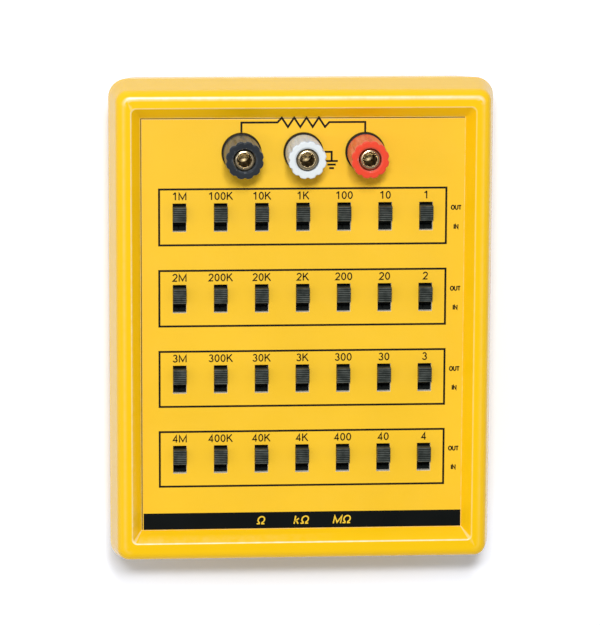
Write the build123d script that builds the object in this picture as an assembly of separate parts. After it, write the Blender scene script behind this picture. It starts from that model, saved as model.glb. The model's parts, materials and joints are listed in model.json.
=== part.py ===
from build123d import *
import math
import os

# Resistance decade box, in millimetres. It lies on its feet with the panel facing up.
# X runs across the panel, +Y towards the binding posts, +Z out of the panel.
# The origin is on the table under the middle of the case.

# Outline of the case
case_width = 119.2
case_length = 151.8
case_corner_radius = 5.7
front_height = 13.0          # joint between the covers up to the crest of the rim
rear_height = 29.0           # outer bottom face up to the joint
rear_width_draft = 3.0       # how much each side draws in from the joint to the bottom
rear_length_draft = 3.0
rear_edge_radius = 2.6
wall = 2.2
cover_gap = 0.05             # between the faces that meet at the joint

# Rim and sunk floor of the front cover
rim_side_draft = 2.3         # how much the outer wall draws in up to the rounded edge
rim_end_draft = 2.7
rim_edge_radius = 2.8
rim_corner_radius = 3.4
crest_width = 105.9          # inner edge of the flat rim face
crest_length = 136.3
crest_corner_radius = 1.6
crest_edge_radius = 0.6      # rounding of the rim's inner edge
floor_width = 100.4
floor_length = 129.8
floor_corner_radius = 0.5
floor_depth = 4.3            # crest down to the sunk floor
floor_thickness = 2.0

# Joint lip between the covers
lip_thickness = 0.9
lip_height = 1.6
lip_clearance = 0.15

# Printed overlay on the sunk floor
overlay_thickness = 0.3
overlay_margin = 0.3

# Switch grid
switch_rows = 4
switch_columns = 7
column_pitch = 12.7
row_pitch = 25.4
grid_offset = -4.2           # middle of the grid from the middle of the case, along Y
slot_width = 4.15
slot_length = 8.8
switch_decades = ("m", "00k", "0k", "k", "00", "0", "")

# Levers
lever_width = 3.85
lever_length = 5.0
lever_rise = 2.8             # above the face of the overlay
lever_travel = 2.8
rib_count = 8
rib_depth = 0.35
rib_top_share = 0.5          # flat top of a rib, of the pitch of the ribs
carriage_width = 7.0
carriage_length = 8.4
carriage_clearance = 0.25

# Switch bodies
base_width = 9.0
base_length = 15.0
base_height = 6.0
base_wall = 0.8
carriage_thickness = 2.9
frame_thickness = 0.45
frame_side_depth = 4.2
frame_gap = 0.3              # top of the switch frames to the underside of the floor
frame_clearance = 0.05
terminal_width = 0.9
terminal_thickness = 0.35
terminal_pitch = 4.0
terminal_count = 3
terminal_tail = 1.8          # below the circuit board
terminal_clearance = 0.05

# Circuit board
board_thickness = 1.6
board_side_margin = 8.6      # from the outer switch centres
board_end_margin = 14.4
board_screw_inset = 3.3
board_boss_radius = 2.7
board_screw_radius = 1.25
board_screw_head_radius = 2.4
board_screw_head_height = 1.6
board_screw_grip = 5.0
board_screw_clearance = 0.2

# Resistors on the rear face of the board
resistor_radius = 1.25
resistor_length = 6.4
resistor_end_radius = 1.45
resistor_end_length = 1.3
resistor_gap = 0.4           # body to board
resistor_offset = 4.4        # beside the terminals of its switch
lead_radius = 0.3
lead_span = 10.16            # between the two ends of a resistor's leads

# Binding posts
post_pitch = 19.05
post_offset = 54.1           # from the middle of the case, along Y
post_colours = ("black", "white", "red")
stud_radius = 3.175
stud_collar_radius = 4.3
stud_collar_height = 0.8
stud_tail_radius = 2.4
stud_tail_chamfer = 0.4
stud_tail_length = 13.0      # below the face of the overlay
stud_top = 17.4              # above the face of the overlay
socket_radius = 2.0
socket_depth = 12.0
socket_chamfer = 0.35
wire_hole_radius = 0.95
wire_hole_height = 3.9

# Insulating washers, nuts and lugs
washer_radius = 6.15
washer_height = 1.8
washer_chamfer = 0.4
spigot_radius = 3.9
spigot_clearance = 0.1
spigot_end_gap = 0.1         # end of the spigot to the underside of the floor
rear_washer_thickness = 1.6
nut_flats = 8.0
nut_height = 3.0
lug_thickness = 0.6
lug_radius = 4.2
lug_tail_width = 3.2
lug_tail_length = 10.0
lug_eye_offset = 8.2
lug_eye_radius = 0.5
tail_clearance = 0.08

# Fluted caps and their threaded inserts
cap_radius = 5.8
cap_top = 18.0               # above the face of the overlay
cap_gap = 0.1                # cap to washer when screwed down
cap_bore_radius = 3.5
cap_skirt_bore_radius = 4.7
cap_edge_radius = 0.5
cap_mouth_chamfer = 0.5
flute_count = 12
flute_radius = 0.8
flute_depth = 0.45
flute_start = 5.5            # height above the foot of the cap where the flutes run out
insert_radius = 4.15
insert_flange_radius = 4.6
insert_flange_height = 2.0
insert_bottom = 5.6          # above the face of the overlay
insert_height = 8.0
thread_clearance = 0.025
insert_clearance = 0.03

# Internal leads of the posts
wire_radius = 0.75
wire_bend_radius = 2.0
wire_rise = 2.9
wire_pad_inset = 3.2
wire_pad_shift = -1.6

# Case screws, from the rear
case_screw_side_inset = 9.1  # from the widest outline
case_screw_end_inset = 9.9
case_boss_radius = 3.75
case_screw_radius = 1.5
case_screw_clearance = 0.2
case_screw_head_radius = 2.8
case_screw_head_height = 2.0
case_screw_length = 18.0
case_screw_grip = 7.0
screw_pocket_radius = 3.3
thread_fit = 0.05
screw_tip_gap = 1.0          # pilot hole beyond the tip of a screw
cross_width = 0.9            # cross recess in the screw heads
cross_depth = 0.9
cross_share = 0.6            # half length of the cross recess, of the head's radius
head_chamfer_share = 0.3     # of the head's height

# Feet
foot_radius = 6.0
foot_top_radius = 6.4
foot_chamfer = 0.6
foot_height = 2.0
foot_pocket_depth = 0.6
foot_pocket_clearance = 0.2
foot_side_inset = 15.0
foot_end_inset = 24.0

# Heights above the table
bottom_z = foot_height
joint_z = bottom_z + rear_height
crest_z = joint_z + front_height
floor_z = crest_z - floor_depth
floor_under_z = floor_z - floor_thickness
face_z = floor_z + overlay_thickness
frame_top_z = floor_under_z - frame_gap
base_top_z = frame_top_z - frame_thickness
board_top_z = base_top_z - base_height
board_under_z = board_top_z - board_thickness
carriage_top_z = base_top_z - carriage_clearance
carriage_bottom_z = carriage_top_z - carriage_thickness
cavity_bottom_z = carriage_bottom_z - carriage_clearance

# Places worked out from the driving sizes
slot_centres = [
    (column_pitch * (column - (switch_columns - 1) / 2),
     grid_offset + row_pitch * ((switch_rows - 1) / 2 - row))
    for row in range(switch_rows)
    for column in range(switch_columns)
]
lever_names = [
    f"lever_{row + 1}{decade}"
    for row in range(switch_rows)
    for decade in switch_decades
]
lever_rest_shift = lever_travel / 2
post_places = [(post_pitch * (number - 1), post_offset) for number in range(3)]
board_width = (switch_columns - 1) * column_pitch + 2 * board_side_margin
board_length = (switch_rows - 1) * row_pitch + 2 * board_end_margin
board_screw_places = [
    (side * (board_width / 2 - board_screw_inset),
     grid_offset + end * (board_length / 2 - board_screw_inset))
    for side in (-1, 1)
    for end in (-1, 1)
]
case_screw_places = [
    (side * (case_width / 2 - case_screw_side_inset),
     end * (case_length / 2 - case_screw_end_inset))
    for side in (-1, 1)
    for end in (-1, 1)
]
foot_places = [
    (side * (case_width / 2 - foot_side_inset),
     end * (case_length / 2 - foot_end_inset))
    for side in (-1, 1)
    for end in (-1, 1)
]


def block(width, length, bottom, top, x=0.0, y=0.0):
    """A box centred on x, y between two heights."""
    return Pos(x, y, (bottom + top) / 2) * Box(width, length, top - bottom)


def post(radius, bottom, top, x=0.0, y=0.0):
    """An upright cylinder between two heights."""
    return Pos(x, y, (bottom + top) / 2) * Cylinder(radius, top - bottom)


def rounded(width, length, radius, height):
    """A rounded rectangle at a height."""
    return Pos(0, 0, height) * RectangleRounded(width, length, radius)


def tapered(lower, upper):
    """A solid with flat drafted sides between two rounded rectangles."""
    return loft([rounded(*lower), rounded(*upper)], ruled=True)


def turned(profile, x, y, base):
    """A turned piece: the profile holds radius and height pairs, heights counted from base."""
    face = make_face(Polyline(*[(radius, 0, height) for radius, height in profile], close=True))
    return Pos(x, y, base) * revolve(face, Axis.Z)


def save(name, *solids):
    """Write one named node; several solids make one group."""
    shape = solids[0] if len(solids) == 1 else Compound(children=list(solids))
    export_step(shape, f"parts/{name}.step")


def front_cover():
    """Moulded front shell with a raised rim, a sunk floor, slots, bosses and a joint lip."""
    shoulder_width = case_width - 2 * rim_side_draft
    shoulder_length = case_length - 2 * rim_end_draft
    outer = tapered((case_width, case_length, case_corner_radius, joint_z + cover_gap),
                    (shoulder_width, shoulder_length, rim_corner_radius, crest_z))
    rim_edges = outer.faces().sort_by(Axis.Z)[-1].edges()
    outer = fillet(rim_edges, rim_edge_radius)

    cavity_top = crest_z - wall
    cavity = tapered(
        (case_width - 2 * wall, case_length - 2 * wall, case_corner_radius - wall, joint_z),
        (shoulder_width - 2 * wall, shoulder_length - 2 * wall, rim_corner_radius - wall, cavity_top))
    floor_block = tapered(
        (floor_width + 2 * wall, floor_length + 2 * wall, wall, floor_under_z),
        (crest_width + 2 * wall, crest_length + 2 * wall, wall, crest_z))
    recess = tapered(
        (floor_width, floor_length, floor_corner_radius, floor_z),
        (crest_width, crest_length, crest_corner_radius, crest_z))
    case_bosses = [post(case_boss_radius, joint_z + cover_gap, crest_z - wall, x, y)
                   for x, y in case_screw_places]
    board_bosses = [post(board_boss_radius, board_top_z, floor_z, x, y)
                    for x, y in board_screw_places]
    cover = outer - (cavity - floor_block - case_bosses) + board_bosses - recess
    crest_edges = cover.faces().sort_by(Axis.Z)[-1].inner_wires()[0].edges()
    cover = fillet(crest_edges, crest_edge_radius)

    lip_width = case_width - 2 * wall
    lip_length = case_length - 2 * wall
    lip_corner = case_corner_radius - wall
    lip_band = extrude(rounded(lip_width + 2 * lip_thickness, lip_length + 2 * lip_thickness,
                               lip_corner + lip_thickness, joint_z - lip_height),
                       lip_height + cover_gap)
    lip_hole = extrude(rounded(lip_width, lip_length, lip_corner, joint_z - lip_height),
                       lip_height + cover_gap)
    cover = cover + (lip_band - lip_hole)

    slots = [block(slot_width, slot_length, floor_under_z, floor_z, x, y) for x, y in slot_centres]
    post_holes = [post(spigot_radius + spigot_clearance, floor_under_z, floor_z, x, y)
                  for x, y in post_places]
    case_pilots = [post(case_screw_radius + thread_fit, joint_z, joint_z + case_screw_grip + screw_tip_gap,
                        x, y)
                   for x, y in case_screw_places]
    board_pilots = [post(board_screw_radius + thread_fit, board_top_z,
                         board_top_z + board_screw_grip + screw_tip_gap, x, y)
                    for x, y in board_screw_places]
    return cover - slots - post_holes - case_pilots - board_pilots


def rear_cover():
    """Moulded rear shell with drafted walls, screw columns, a rebate and pockets for the feet."""
    bottom_width = case_width - 2 * rear_width_draft
    bottom_length = case_length - 2 * rear_length_draft
    outer = tapered((bottom_width, bottom_length, case_corner_radius, bottom_z),
                    (case_width, case_length, case_corner_radius, joint_z))
    outer = fillet(outer.faces().sort_by(Axis.Z)[0].edges(), rear_edge_radius)
    inner_corner = case_corner_radius - wall
    cavity = tapered(
        (bottom_width - 2 * wall, bottom_length - 2 * wall, inner_corner, bottom_z + wall),
        (case_width - 2 * wall, case_length - 2 * wall, inner_corner, joint_z))
    columns = [post(case_boss_radius, bottom_z + wall, joint_z, x, y) for x, y in case_screw_places]
    rebate_reach = lip_thickness + lip_clearance
    rebate = extrude(rounded(case_width - 2 * wall + 2 * rebate_reach,
                             case_length - 2 * wall + 2 * rebate_reach,
                             inner_corner + rebate_reach,
                             joint_z - lip_height - lip_clearance),
                     lip_height + lip_clearance)
    rebate = rebate - [post(case_boss_radius, joint_z - lip_height - lip_clearance, joint_z, x, y)
                       for x, y in case_screw_places]
    cover = outer - (cavity - columns) - rebate

    head_z = screw_head_height()
    pockets = [post(screw_pocket_radius, bottom_z, head_z, x, y) for x, y in case_screw_places]
    shanks = [post(case_screw_radius + case_screw_clearance, head_z, joint_z, x, y)
              for x, y in case_screw_places]
    foot_pockets = [post(foot_top_radius + foot_pocket_clearance, bottom_z,
                         bottom_z + foot_pocket_depth, x, y)
                    for x, y in foot_places]
    return cover - pockets - shanks - foot_pockets


def screw_head_height():
    """Height of the seat of a case screw's head inside its column."""
    return joint_z + case_screw_grip - case_screw_length


def panel_overlay():
    """Thin printed plate on the sunk floor."""
    sheet = extrude(rounded(floor_width - 2 * overlay_margin, floor_length - 2 * overlay_margin,
                            floor_corner_radius, floor_z), overlay_thickness)
    slots = [block(slot_width, slot_length, floor_z, face_z, x, y) for x, y in slot_centres]
    holes = [post(spigot_radius + spigot_clearance, floor_z, face_z, x, y) for x, y in post_places]
    return sheet - slots - holes


def cross_headed_screw(x, y, seat_z, length, radius, head_radius, head_height):
    """A pan-headed screw pointing up, its head hanging below the seat."""
    head = post(head_radius, seat_z - head_height, seat_z, x, y)
    head = chamfer(head.faces().sort_by(Axis.Z)[0].edges(), head_height * head_chamfer_share)
    bar_length = 2 * cross_share * head_radius
    cross = [block(bar_length, cross_width, seat_z - head_height,
                   seat_z - head_height + cross_depth, x, y),
             block(cross_width, bar_length, seat_z - head_height,
                   seat_z - head_height + cross_depth, x, y)]
    return head + post(radius, seat_z, seat_z + length, x, y) - cross


def case_screws():
    return [cross_headed_screw(x, y, screw_head_height(), case_screw_length, case_screw_radius,
                               case_screw_head_radius, case_screw_head_height)
            for x, y in case_screw_places]


def board_screws():
    return [cross_headed_screw(x, y, board_under_z, board_thickness + board_screw_grip,
                               board_screw_radius, board_screw_head_radius, board_screw_head_height)
            for x, y in board_screw_places]


def rubber_feet():
    seat = foot_height + foot_pocket_depth
    profile = [(0, 0), (foot_radius - foot_chamfer, 0), (foot_radius, foot_chamfer),
               (foot_top_radius, seat), (0, seat)]
    return [turned(profile, x, y, 0) for x, y in foot_places]


def circuit_board():
    board = block(board_width, board_length, board_under_z, board_top_z, 0, grid_offset)
    screw_holes = [post(board_screw_radius + board_screw_clearance, board_under_z, board_top_z, x, y)
                   for x, y in board_screw_places]
    terminal_holes = [block(terminal_thickness + 2 * terminal_clearance,
                            terminal_width + 2 * terminal_clearance,
                            board_under_z, board_top_z, x, y)
                      for x, y in terminal_places()]
    return board - screw_holes - terminal_holes


def terminal_places():
    """Centres of the three terminals of each switch."""
    middle = (terminal_count - 1) / 2
    return [(x, y + terminal_pitch * (number - middle))
            for x, y in slot_centres for number in range(terminal_count)]


def switch_terminals():
    return [block(terminal_thickness, terminal_width, board_under_z - terminal_tail,
                  cavity_bottom_z, x, y)
            for x, y in terminal_places()]


def switch_bases():
    """Moulded switch bodies, open at the top where the carriage runs."""
    middle = (terminal_count - 1) / 2
    body = block(base_width, base_length, board_top_z, base_top_z)
    body = body - block(base_width - 2 * base_wall, base_length - 2 * base_wall,
                        cavity_bottom_z, base_top_z)
    holes = [block(terminal_thickness + 2 * terminal_clearance,
                   terminal_width + 2 * terminal_clearance, board_top_z, cavity_bottom_z,
                   0, terminal_pitch * (number - middle))
             for number in range(terminal_count)]
    body = body - holes
    return [Pos(x, y, 0) * body for x, y in slot_centres]


def switch_frames():
    """Folded steel channels over the switch bodies, with a slot for the lever."""
    inside = base_width + 2 * frame_clearance
    outside = inside + 2 * frame_thickness
    channel = block(outside, base_length, frame_top_z - frame_side_depth, frame_top_z)
    channel = channel - block(inside, base_length, frame_top_z - frame_side_depth, base_top_z)
    slot = block(slot_width + 2 * carriage_clearance, slot_length + 2 * carriage_clearance,
                 base_top_z, frame_top_z)
    channel = channel - slot
    return [Pos(x, y, 0) * channel for x, y in slot_centres]


def lever():
    """A slide lever at the middle of its slot: ribbed finger grip, stem and carriage."""
    top = face_z + lever_rise
    pitch = lever_length / rib_count
    rib_flank = pitch * (1 - rib_top_share) / 2
    outline = [(-lever_length / 2, carriage_top_z)]
    for number in range(rib_count):
        start = -lever_length / 2 + number * pitch
        outline += [(start, top - rib_depth), (start + rib_flank, top),
                    (start + pitch - rib_flank, top)]
    outline += [(lever_length / 2, top - rib_depth), (lever_length / 2, carriage_top_z)]
    side = make_face(Polyline(*[(-lever_width / 2, y, z) for y, z in outline], close=True))
    grip = extrude(side, lever_width, dir=(1, 0, 0))
    return grip + block(carriage_width, carriage_length, carriage_bottom_z, carriage_top_z)


def resistor(x, y):
    """A resistor body: a slim barrel with a thicker cap at each end, lying along Y."""
    half = resistor_length / 2
    inner = half - resistor_end_length
    profile = [(0, -half), (resistor_end_radius, -half), (resistor_end_radius, -inner),
               (resistor_radius, -inner), (resistor_radius, inner), (resistor_end_radius, inner),
               (resistor_end_radius, half), (0, half)]
    body = turned(profile, 0, 0, 0)
    return Pos(x, y, resistor_axis_height()) * Rot(90, 0, 0) * body


def resistor_axis_height():
    return board_under_z - resistor_gap - resistor_end_radius


def resistors():
    return [resistor(x + resistor_offset, y) for x, y in slot_centres]


def resistor_leads():
    """Wire leads from each end of a resistor, bent up to the rear face of the board."""
    axis_z = resistor_axis_height()
    leads = []
    for x, y in slot_centres:
        for end in (-1, 1):
            bend_y = y + end * lead_span / 2
            path = Polyline((x + resistor_offset, y + end * resistor_length / 2, axis_z),
                            (x + resistor_offset, bend_y, axis_z),
                            (x + resistor_offset, bend_y, board_under_z))
            section = Plane(origin=path @ 0, z_dir=path % 0) * Circle(lead_radius)
            leads.append(sweep(section, path, transition=Transition.RIGHT))
    return leads


def post_stud(x, y):
    """Turned stud with a socket in its end and a wire hole across its foot."""
    profile = [(0, -stud_tail_length), (stud_tail_radius - stud_tail_chamfer, -stud_tail_length),
               (stud_tail_radius, stud_tail_chamfer - stud_tail_length),
               (stud_tail_radius, washer_height),
               (stud_collar_radius, washer_height),
               (stud_collar_radius, washer_height + stud_collar_height),
               (stud_radius, washer_height + stud_collar_height),
               (stud_radius, stud_top - socket_chamfer), (stud_radius - socket_chamfer, stud_top),
               (socket_radius + socket_chamfer, stud_top),
               (socket_radius, stud_top - socket_chamfer), (socket_radius, stud_top - socket_depth),
               (0, stud_top - socket_depth)]
    stud = turned(profile, x, y, face_z)
    wire_hole = Pos(x, y, face_z + wire_hole_height) * Rot(0, 90, 0) * Cylinder(
        wire_hole_radius, 2 * stud_collar_radius)
    return stud - wire_hole


def post_front_washers():
    """Insulating washers with a spigot through the floor."""
    depth = overlay_thickness + floor_thickness - spigot_end_gap
    hole = stud_tail_radius + tail_clearance
    profile = [(hole, -depth), (spigot_radius, -depth), (spigot_radius, 0), (washer_radius, 0),
               (washer_radius, washer_height - washer_chamfer),
               (washer_radius - washer_chamfer, washer_height), (hole, washer_height)]
    return [turned(profile, x, y, face_z) for x, y in post_places]


def post_rear_washers():
    hole = stud_tail_radius + tail_clearance
    profile = [(hole, -rear_washer_thickness), (washer_radius, -rear_washer_thickness),
               (washer_radius, 0), (hole, 0)]
    return [turned(profile, x, y, floor_under_z) for x, y in post_places]


def upper_nut_bottom():
    return floor_under_z - rear_washer_thickness - nut_height


def post_nuts():
    """Two hexagon nuts on each stud, one each side of the lug."""
    lower_nut_top = upper_nut_bottom() - lug_thickness
    nuts = []
    for x, y in post_places:
        for bottom in (upper_nut_bottom(), lower_nut_top - nut_height):
            hexagon = RegularPolygon(nut_flats / 2, 6, major_radius=False)
            ring = hexagon - Circle(stud_tail_radius + tail_clearance)
            nuts.append(Pos(x, y, bottom) * extrude(ring, nut_height))
    return nuts


def solder_lugs():
    """Flat tags clamped between the nuts, with an eye for the lead."""
    shape = Circle(lug_radius)
    shape += Pos(lug_tail_length / 2, 0) * Rectangle(lug_tail_length, lug_tail_width)
    shape -= Circle(stud_tail_radius + tail_clearance)
    shape -= Pos(lug_eye_offset, 0) * Circle(lug_eye_radius)
    bottom = upper_nut_bottom() - lug_thickness
    return [Pos(x, y, bottom) * extrude(shape, lug_thickness) for x, y in post_places]


def internal_lead(x, y):
    """Insulated wire from the eye of a lug over the edge of the board to its pad."""
    start_z = upper_nut_bottom()
    run_z = start_z + wire_rise
    pad_x = x + lug_eye_offset + wire_pad_shift
    pad_y = grid_offset + board_length / 2 - wire_pad_inset
    path = FilletPolyline((x + lug_eye_offset, y, start_z), (x + lug_eye_offset, y, run_z),
                          (pad_x, pad_y, run_z), (pad_x, pad_y, board_top_z),
                          radius=wire_bend_radius)
    return sweep(Plane(origin=path @ 0, z_dir=path % 0) * Circle(wire_radius), path)


def threaded_insert(x, y):
    """Metal bush moulded into the cap; it runs on the stud."""
    bore = stud_radius + thread_clearance
    flange_bottom = insert_bottom + (insert_height - insert_flange_height) / 2
    flange_top = flange_bottom + insert_flange_height
    top = insert_bottom + insert_height
    profile = [(bore, insert_bottom), (insert_radius, insert_bottom), (insert_radius, flange_bottom),
               (insert_flange_radius, flange_bottom), (insert_flange_radius, flange_top),
               (insert_radius, flange_top), (insert_radius, top), (bore, top)]
    return turned(profile, x, y, face_z)


def fluted_cap(x, y):
    """Plastic cap with a smooth skirt and flutes that run out towards its foot."""
    foot = washer_height + cap_gap
    gap = insert_clearance
    flange_bottom = insert_bottom + (insert_height - insert_flange_height) / 2 - gap
    flange_top = flange_bottom + insert_flange_height + 2 * gap
    insert_top = insert_bottom + insert_height + gap
    profile = [(cap_skirt_bore_radius, foot), (cap_radius, foot), (cap_radius, cap_top),
               (cap_bore_radius + cap_mouth_chamfer, cap_top),
               (cap_bore_radius, cap_top - cap_mouth_chamfer), (cap_bore_radius, insert_top),
               (insert_radius + gap, insert_top), (insert_radius + gap, flange_top),
               (insert_flange_radius + gap, flange_top), (insert_flange_radius + gap, flange_bottom),
               (insert_radius + gap, flange_bottom), (insert_radius + gap, insert_bottom - gap),
               (cap_skirt_bore_radius, insert_bottom - gap)]
    cap = turned(profile, 0, 0, 0)
    rim = cap.faces().sort_by(Axis.Z)[-1].outer_wire().edges()
    cap = fillet(rim, cap_edge_radius)
    rise = cap_top - foot - flute_start
    lean = math.degrees(math.atan2(flute_depth, rise))
    cutter = (Pos(cap_radius + flute_radius, 0, foot + flute_start) * Rot(0, -lean, 0)
              * Pos(0, 0, rise) * Cylinder(flute_radius, 2 * rise))
    cutters = [Rot(0, 0, 360 / flute_count * number) * cutter for number in range(flute_count)]
    return Pos(x, y, face_z) * (cap - cutters)


os.makedirs("parts", exist_ok=True)
save("front_cover", front_cover())
save("panel_overlay", panel_overlay())
save("rear_cover", rear_cover())
save("case_screws", *case_screws())
save("rubber_feet", *rubber_feet())
save("circuit_board", circuit_board())
save("board_screws", *board_screws())
save("switch_frames", *switch_frames())
save("switch_bases", *switch_bases())
save("switch_terminals", *switch_terminals())
save("resistors", *resistors())
save("resistor_leads", *resistor_leads())
save("post_front_washers", *post_front_washers())
save("post_rear_washers", *post_rear_washers())
save("post_nuts", *post_nuts())
save("solder_lugs", *solder_lugs())

slide_lever = lever()
for lever_name, (lever_x, lever_y) in zip(lever_names, slot_centres):
    save(lever_name, Pos(lever_x, lever_y + lever_rest_shift, 0) * slide_lever)

for colour, (post_x, post_y) in zip(post_colours, post_places):
    save(f"{colour}_post_stud", post_stud(post_x, post_y))
    save(f"{colour}_post_insert", threaded_insert(post_x, post_y))
    save(f"{colour}_post_cap", fluted_cap(post_x, post_y))
    save(f"{colour}_lead", internal_lead(post_x, post_y))
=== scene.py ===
import json
import math

import bmesh
import bpy
from bpy.props import FloatProperty, FloatVectorProperty, IntProperty, PointerProperty
from mathutils import Matrix, Vector


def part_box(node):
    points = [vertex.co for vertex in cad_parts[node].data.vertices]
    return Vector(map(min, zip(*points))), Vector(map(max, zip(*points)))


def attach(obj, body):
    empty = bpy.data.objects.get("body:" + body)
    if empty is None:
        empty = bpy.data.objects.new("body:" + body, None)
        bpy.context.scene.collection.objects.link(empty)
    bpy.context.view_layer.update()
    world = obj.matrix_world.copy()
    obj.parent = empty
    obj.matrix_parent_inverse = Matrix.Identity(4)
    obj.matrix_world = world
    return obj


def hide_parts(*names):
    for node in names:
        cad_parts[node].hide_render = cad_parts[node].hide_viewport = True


bl_info = {
    "name": "Resistance decade box",
    "version": (1, 0, 0),
    "blender": (4, 5, 0),
    "location": "3D View > Sidebar > Decade box",
    "description": "Dresses the fixed frame of a resistance decade box",
    "category": "Object",
}

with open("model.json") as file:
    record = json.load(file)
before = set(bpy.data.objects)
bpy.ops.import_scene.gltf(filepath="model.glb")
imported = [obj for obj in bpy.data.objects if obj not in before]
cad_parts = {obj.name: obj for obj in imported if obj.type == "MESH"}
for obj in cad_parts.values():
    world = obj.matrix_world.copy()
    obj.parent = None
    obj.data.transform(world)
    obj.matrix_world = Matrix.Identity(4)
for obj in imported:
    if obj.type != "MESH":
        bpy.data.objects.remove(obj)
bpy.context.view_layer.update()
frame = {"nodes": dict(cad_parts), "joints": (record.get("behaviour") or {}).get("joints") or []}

MM = 0.001
COLOURS = ("black", "white", "red")
DECADES = ("m", "00k", "0k", "k", "00", "0", "")
LABEL_TAILS = ("M", "00K", "0K", "K", "00", "0", "")
ROWS = 4
HOLD = 0.2                   # holding points beyond a rounding, of its radius
THREAD, FACET = 1, 2         # marks on a stud's profile
POST_HOLE = 4.0 * MM         # radius of the holes for the posts
SMALLEST_CORNER = 0.2 * MM
LAMPS = (("key_strip", (-0.11, 0.5, 1.6), (0.3, 0.1), 13.4),      # place, size, watts
         ("high_softbox", (-0.05, 0.78, 1.9), (0.16, 0.16), 6.6),
         ("left_strip", (-0.5, 0.1, 0.8), (0.08, 0.9), 0.45))

_, front_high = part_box("front_cover")
rear_low, rear_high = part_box("rear_cover")
overlay_low, overlay_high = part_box("panel_overlay")
_, foot_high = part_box("rubber_feet")
case_half_x = front_high.x
case_half_y = front_high.y
joint_z = rear_high.z
crest_z = front_high.z
face_z = overlay_high.z
floor_z = overlay_low.z


def linear(red, green, blue):
    """A colour given as it looks on a screen, 0 to 255, in scene-linear values."""
    def channel(value):
        value = value / 255
        return value / 12.92 if value <= 0.04045 else ((value + 0.055) / 1.055) ** 2.4
    return (channel(red), channel(green), channel(blue))


def length(name, text, millimetres):
    """A length property with a default given in millimetres."""
    return FloatProperty(name=name, description=text, default=millimetres * MM,
                         unit="LENGTH", precision=5)


def colour(name, text, red, green, blue):
    """A colour property with a default as it looks on a screen."""
    return FloatVectorProperty(name=name, description=text, subtype="COLOR", size=3,
                               min=0.0, max=1.0, default=linear(red, green, blue))


class CaseSettings(bpy.types.PropertyGroup):
    """Sizes and colours of the two moulded covers and the feet."""
    side_draft: length("Side draft", "How far the long walls draw in up to the rim", 2.3)
    end_draft: length("End draft", "How far the short walls draw in up to the rim", 2.7)
    outline_corner: length("Outline corner", "Corner radius where the covers meet", 5.7)
    shoulder_corner: length("Rim corner", "Corner radius of the rim's outer edge", 3.4)
    shoulder_round: length("Rim rounding", "Rounding of the rim's outer edge", 2.8)
    crest_width: length("Crest width", "Inner edge of the rim face, across", 105.9)
    crest_length: length("Crest length", "Inner edge of the rim face, along", 136.3)
    crest_corner: length("Crest corner", "Corner radius of the rim's inner edge", 1.6)
    crest_round: length("Crest rounding", "Rounding of the rim's inner edge", 0.6)
    floor_width: length("Floor width", "Sunk floor, across", 100.4)
    floor_length: length("Floor length", "Sunk floor, along", 129.8)
    floor_corner: length("Floor corner", "Corner radius of the sunk floor", 0.4)
    floor_thickness: length("Floor thickness", "Thickness of the sunk floor", 2.0)
    wall: length("Wall", "Wall thickness of both covers", 2.2)
    seam: length("Seam", "Rounding of the two edges at the joint", 0.25)
    bottom_draft: length("Rear draft", "How far the rear walls draw in to the bottom", 3.0)
    bottom_round: length("Bottom rounding", "Rounding of the rear cover's bottom edge", 2.6)
    screw_inset_x: length("Screw inset across", "Case screw from the outline", 9.1)
    screw_inset_y: length("Screw inset along", "Case screw from the outline", 9.9)
    screw_pocket: length("Screw pocket", "Radius of the screw pockets", 3.3)
    screw_seat: length("Screw seat", "Height of the screw seats", 20.0)
    foot_inset_x: length("Foot inset across", "Foot from the outline", 15.0)
    foot_inset_y: length("Foot inset along", "Foot from the outline", 24.0)
    foot_pocket: length("Foot pocket", "Radius of the pocket of a foot", 6.6)
    foot_pocket_depth: length("Foot pocket depth", "Depth of the pocket of a foot", 0.6)
    shell: colour("Case yellow", "Moulded yellow of both covers", 254, 203, 12)
    rubber: colour("Rubber", "Feet", 38, 38, 40)


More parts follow.
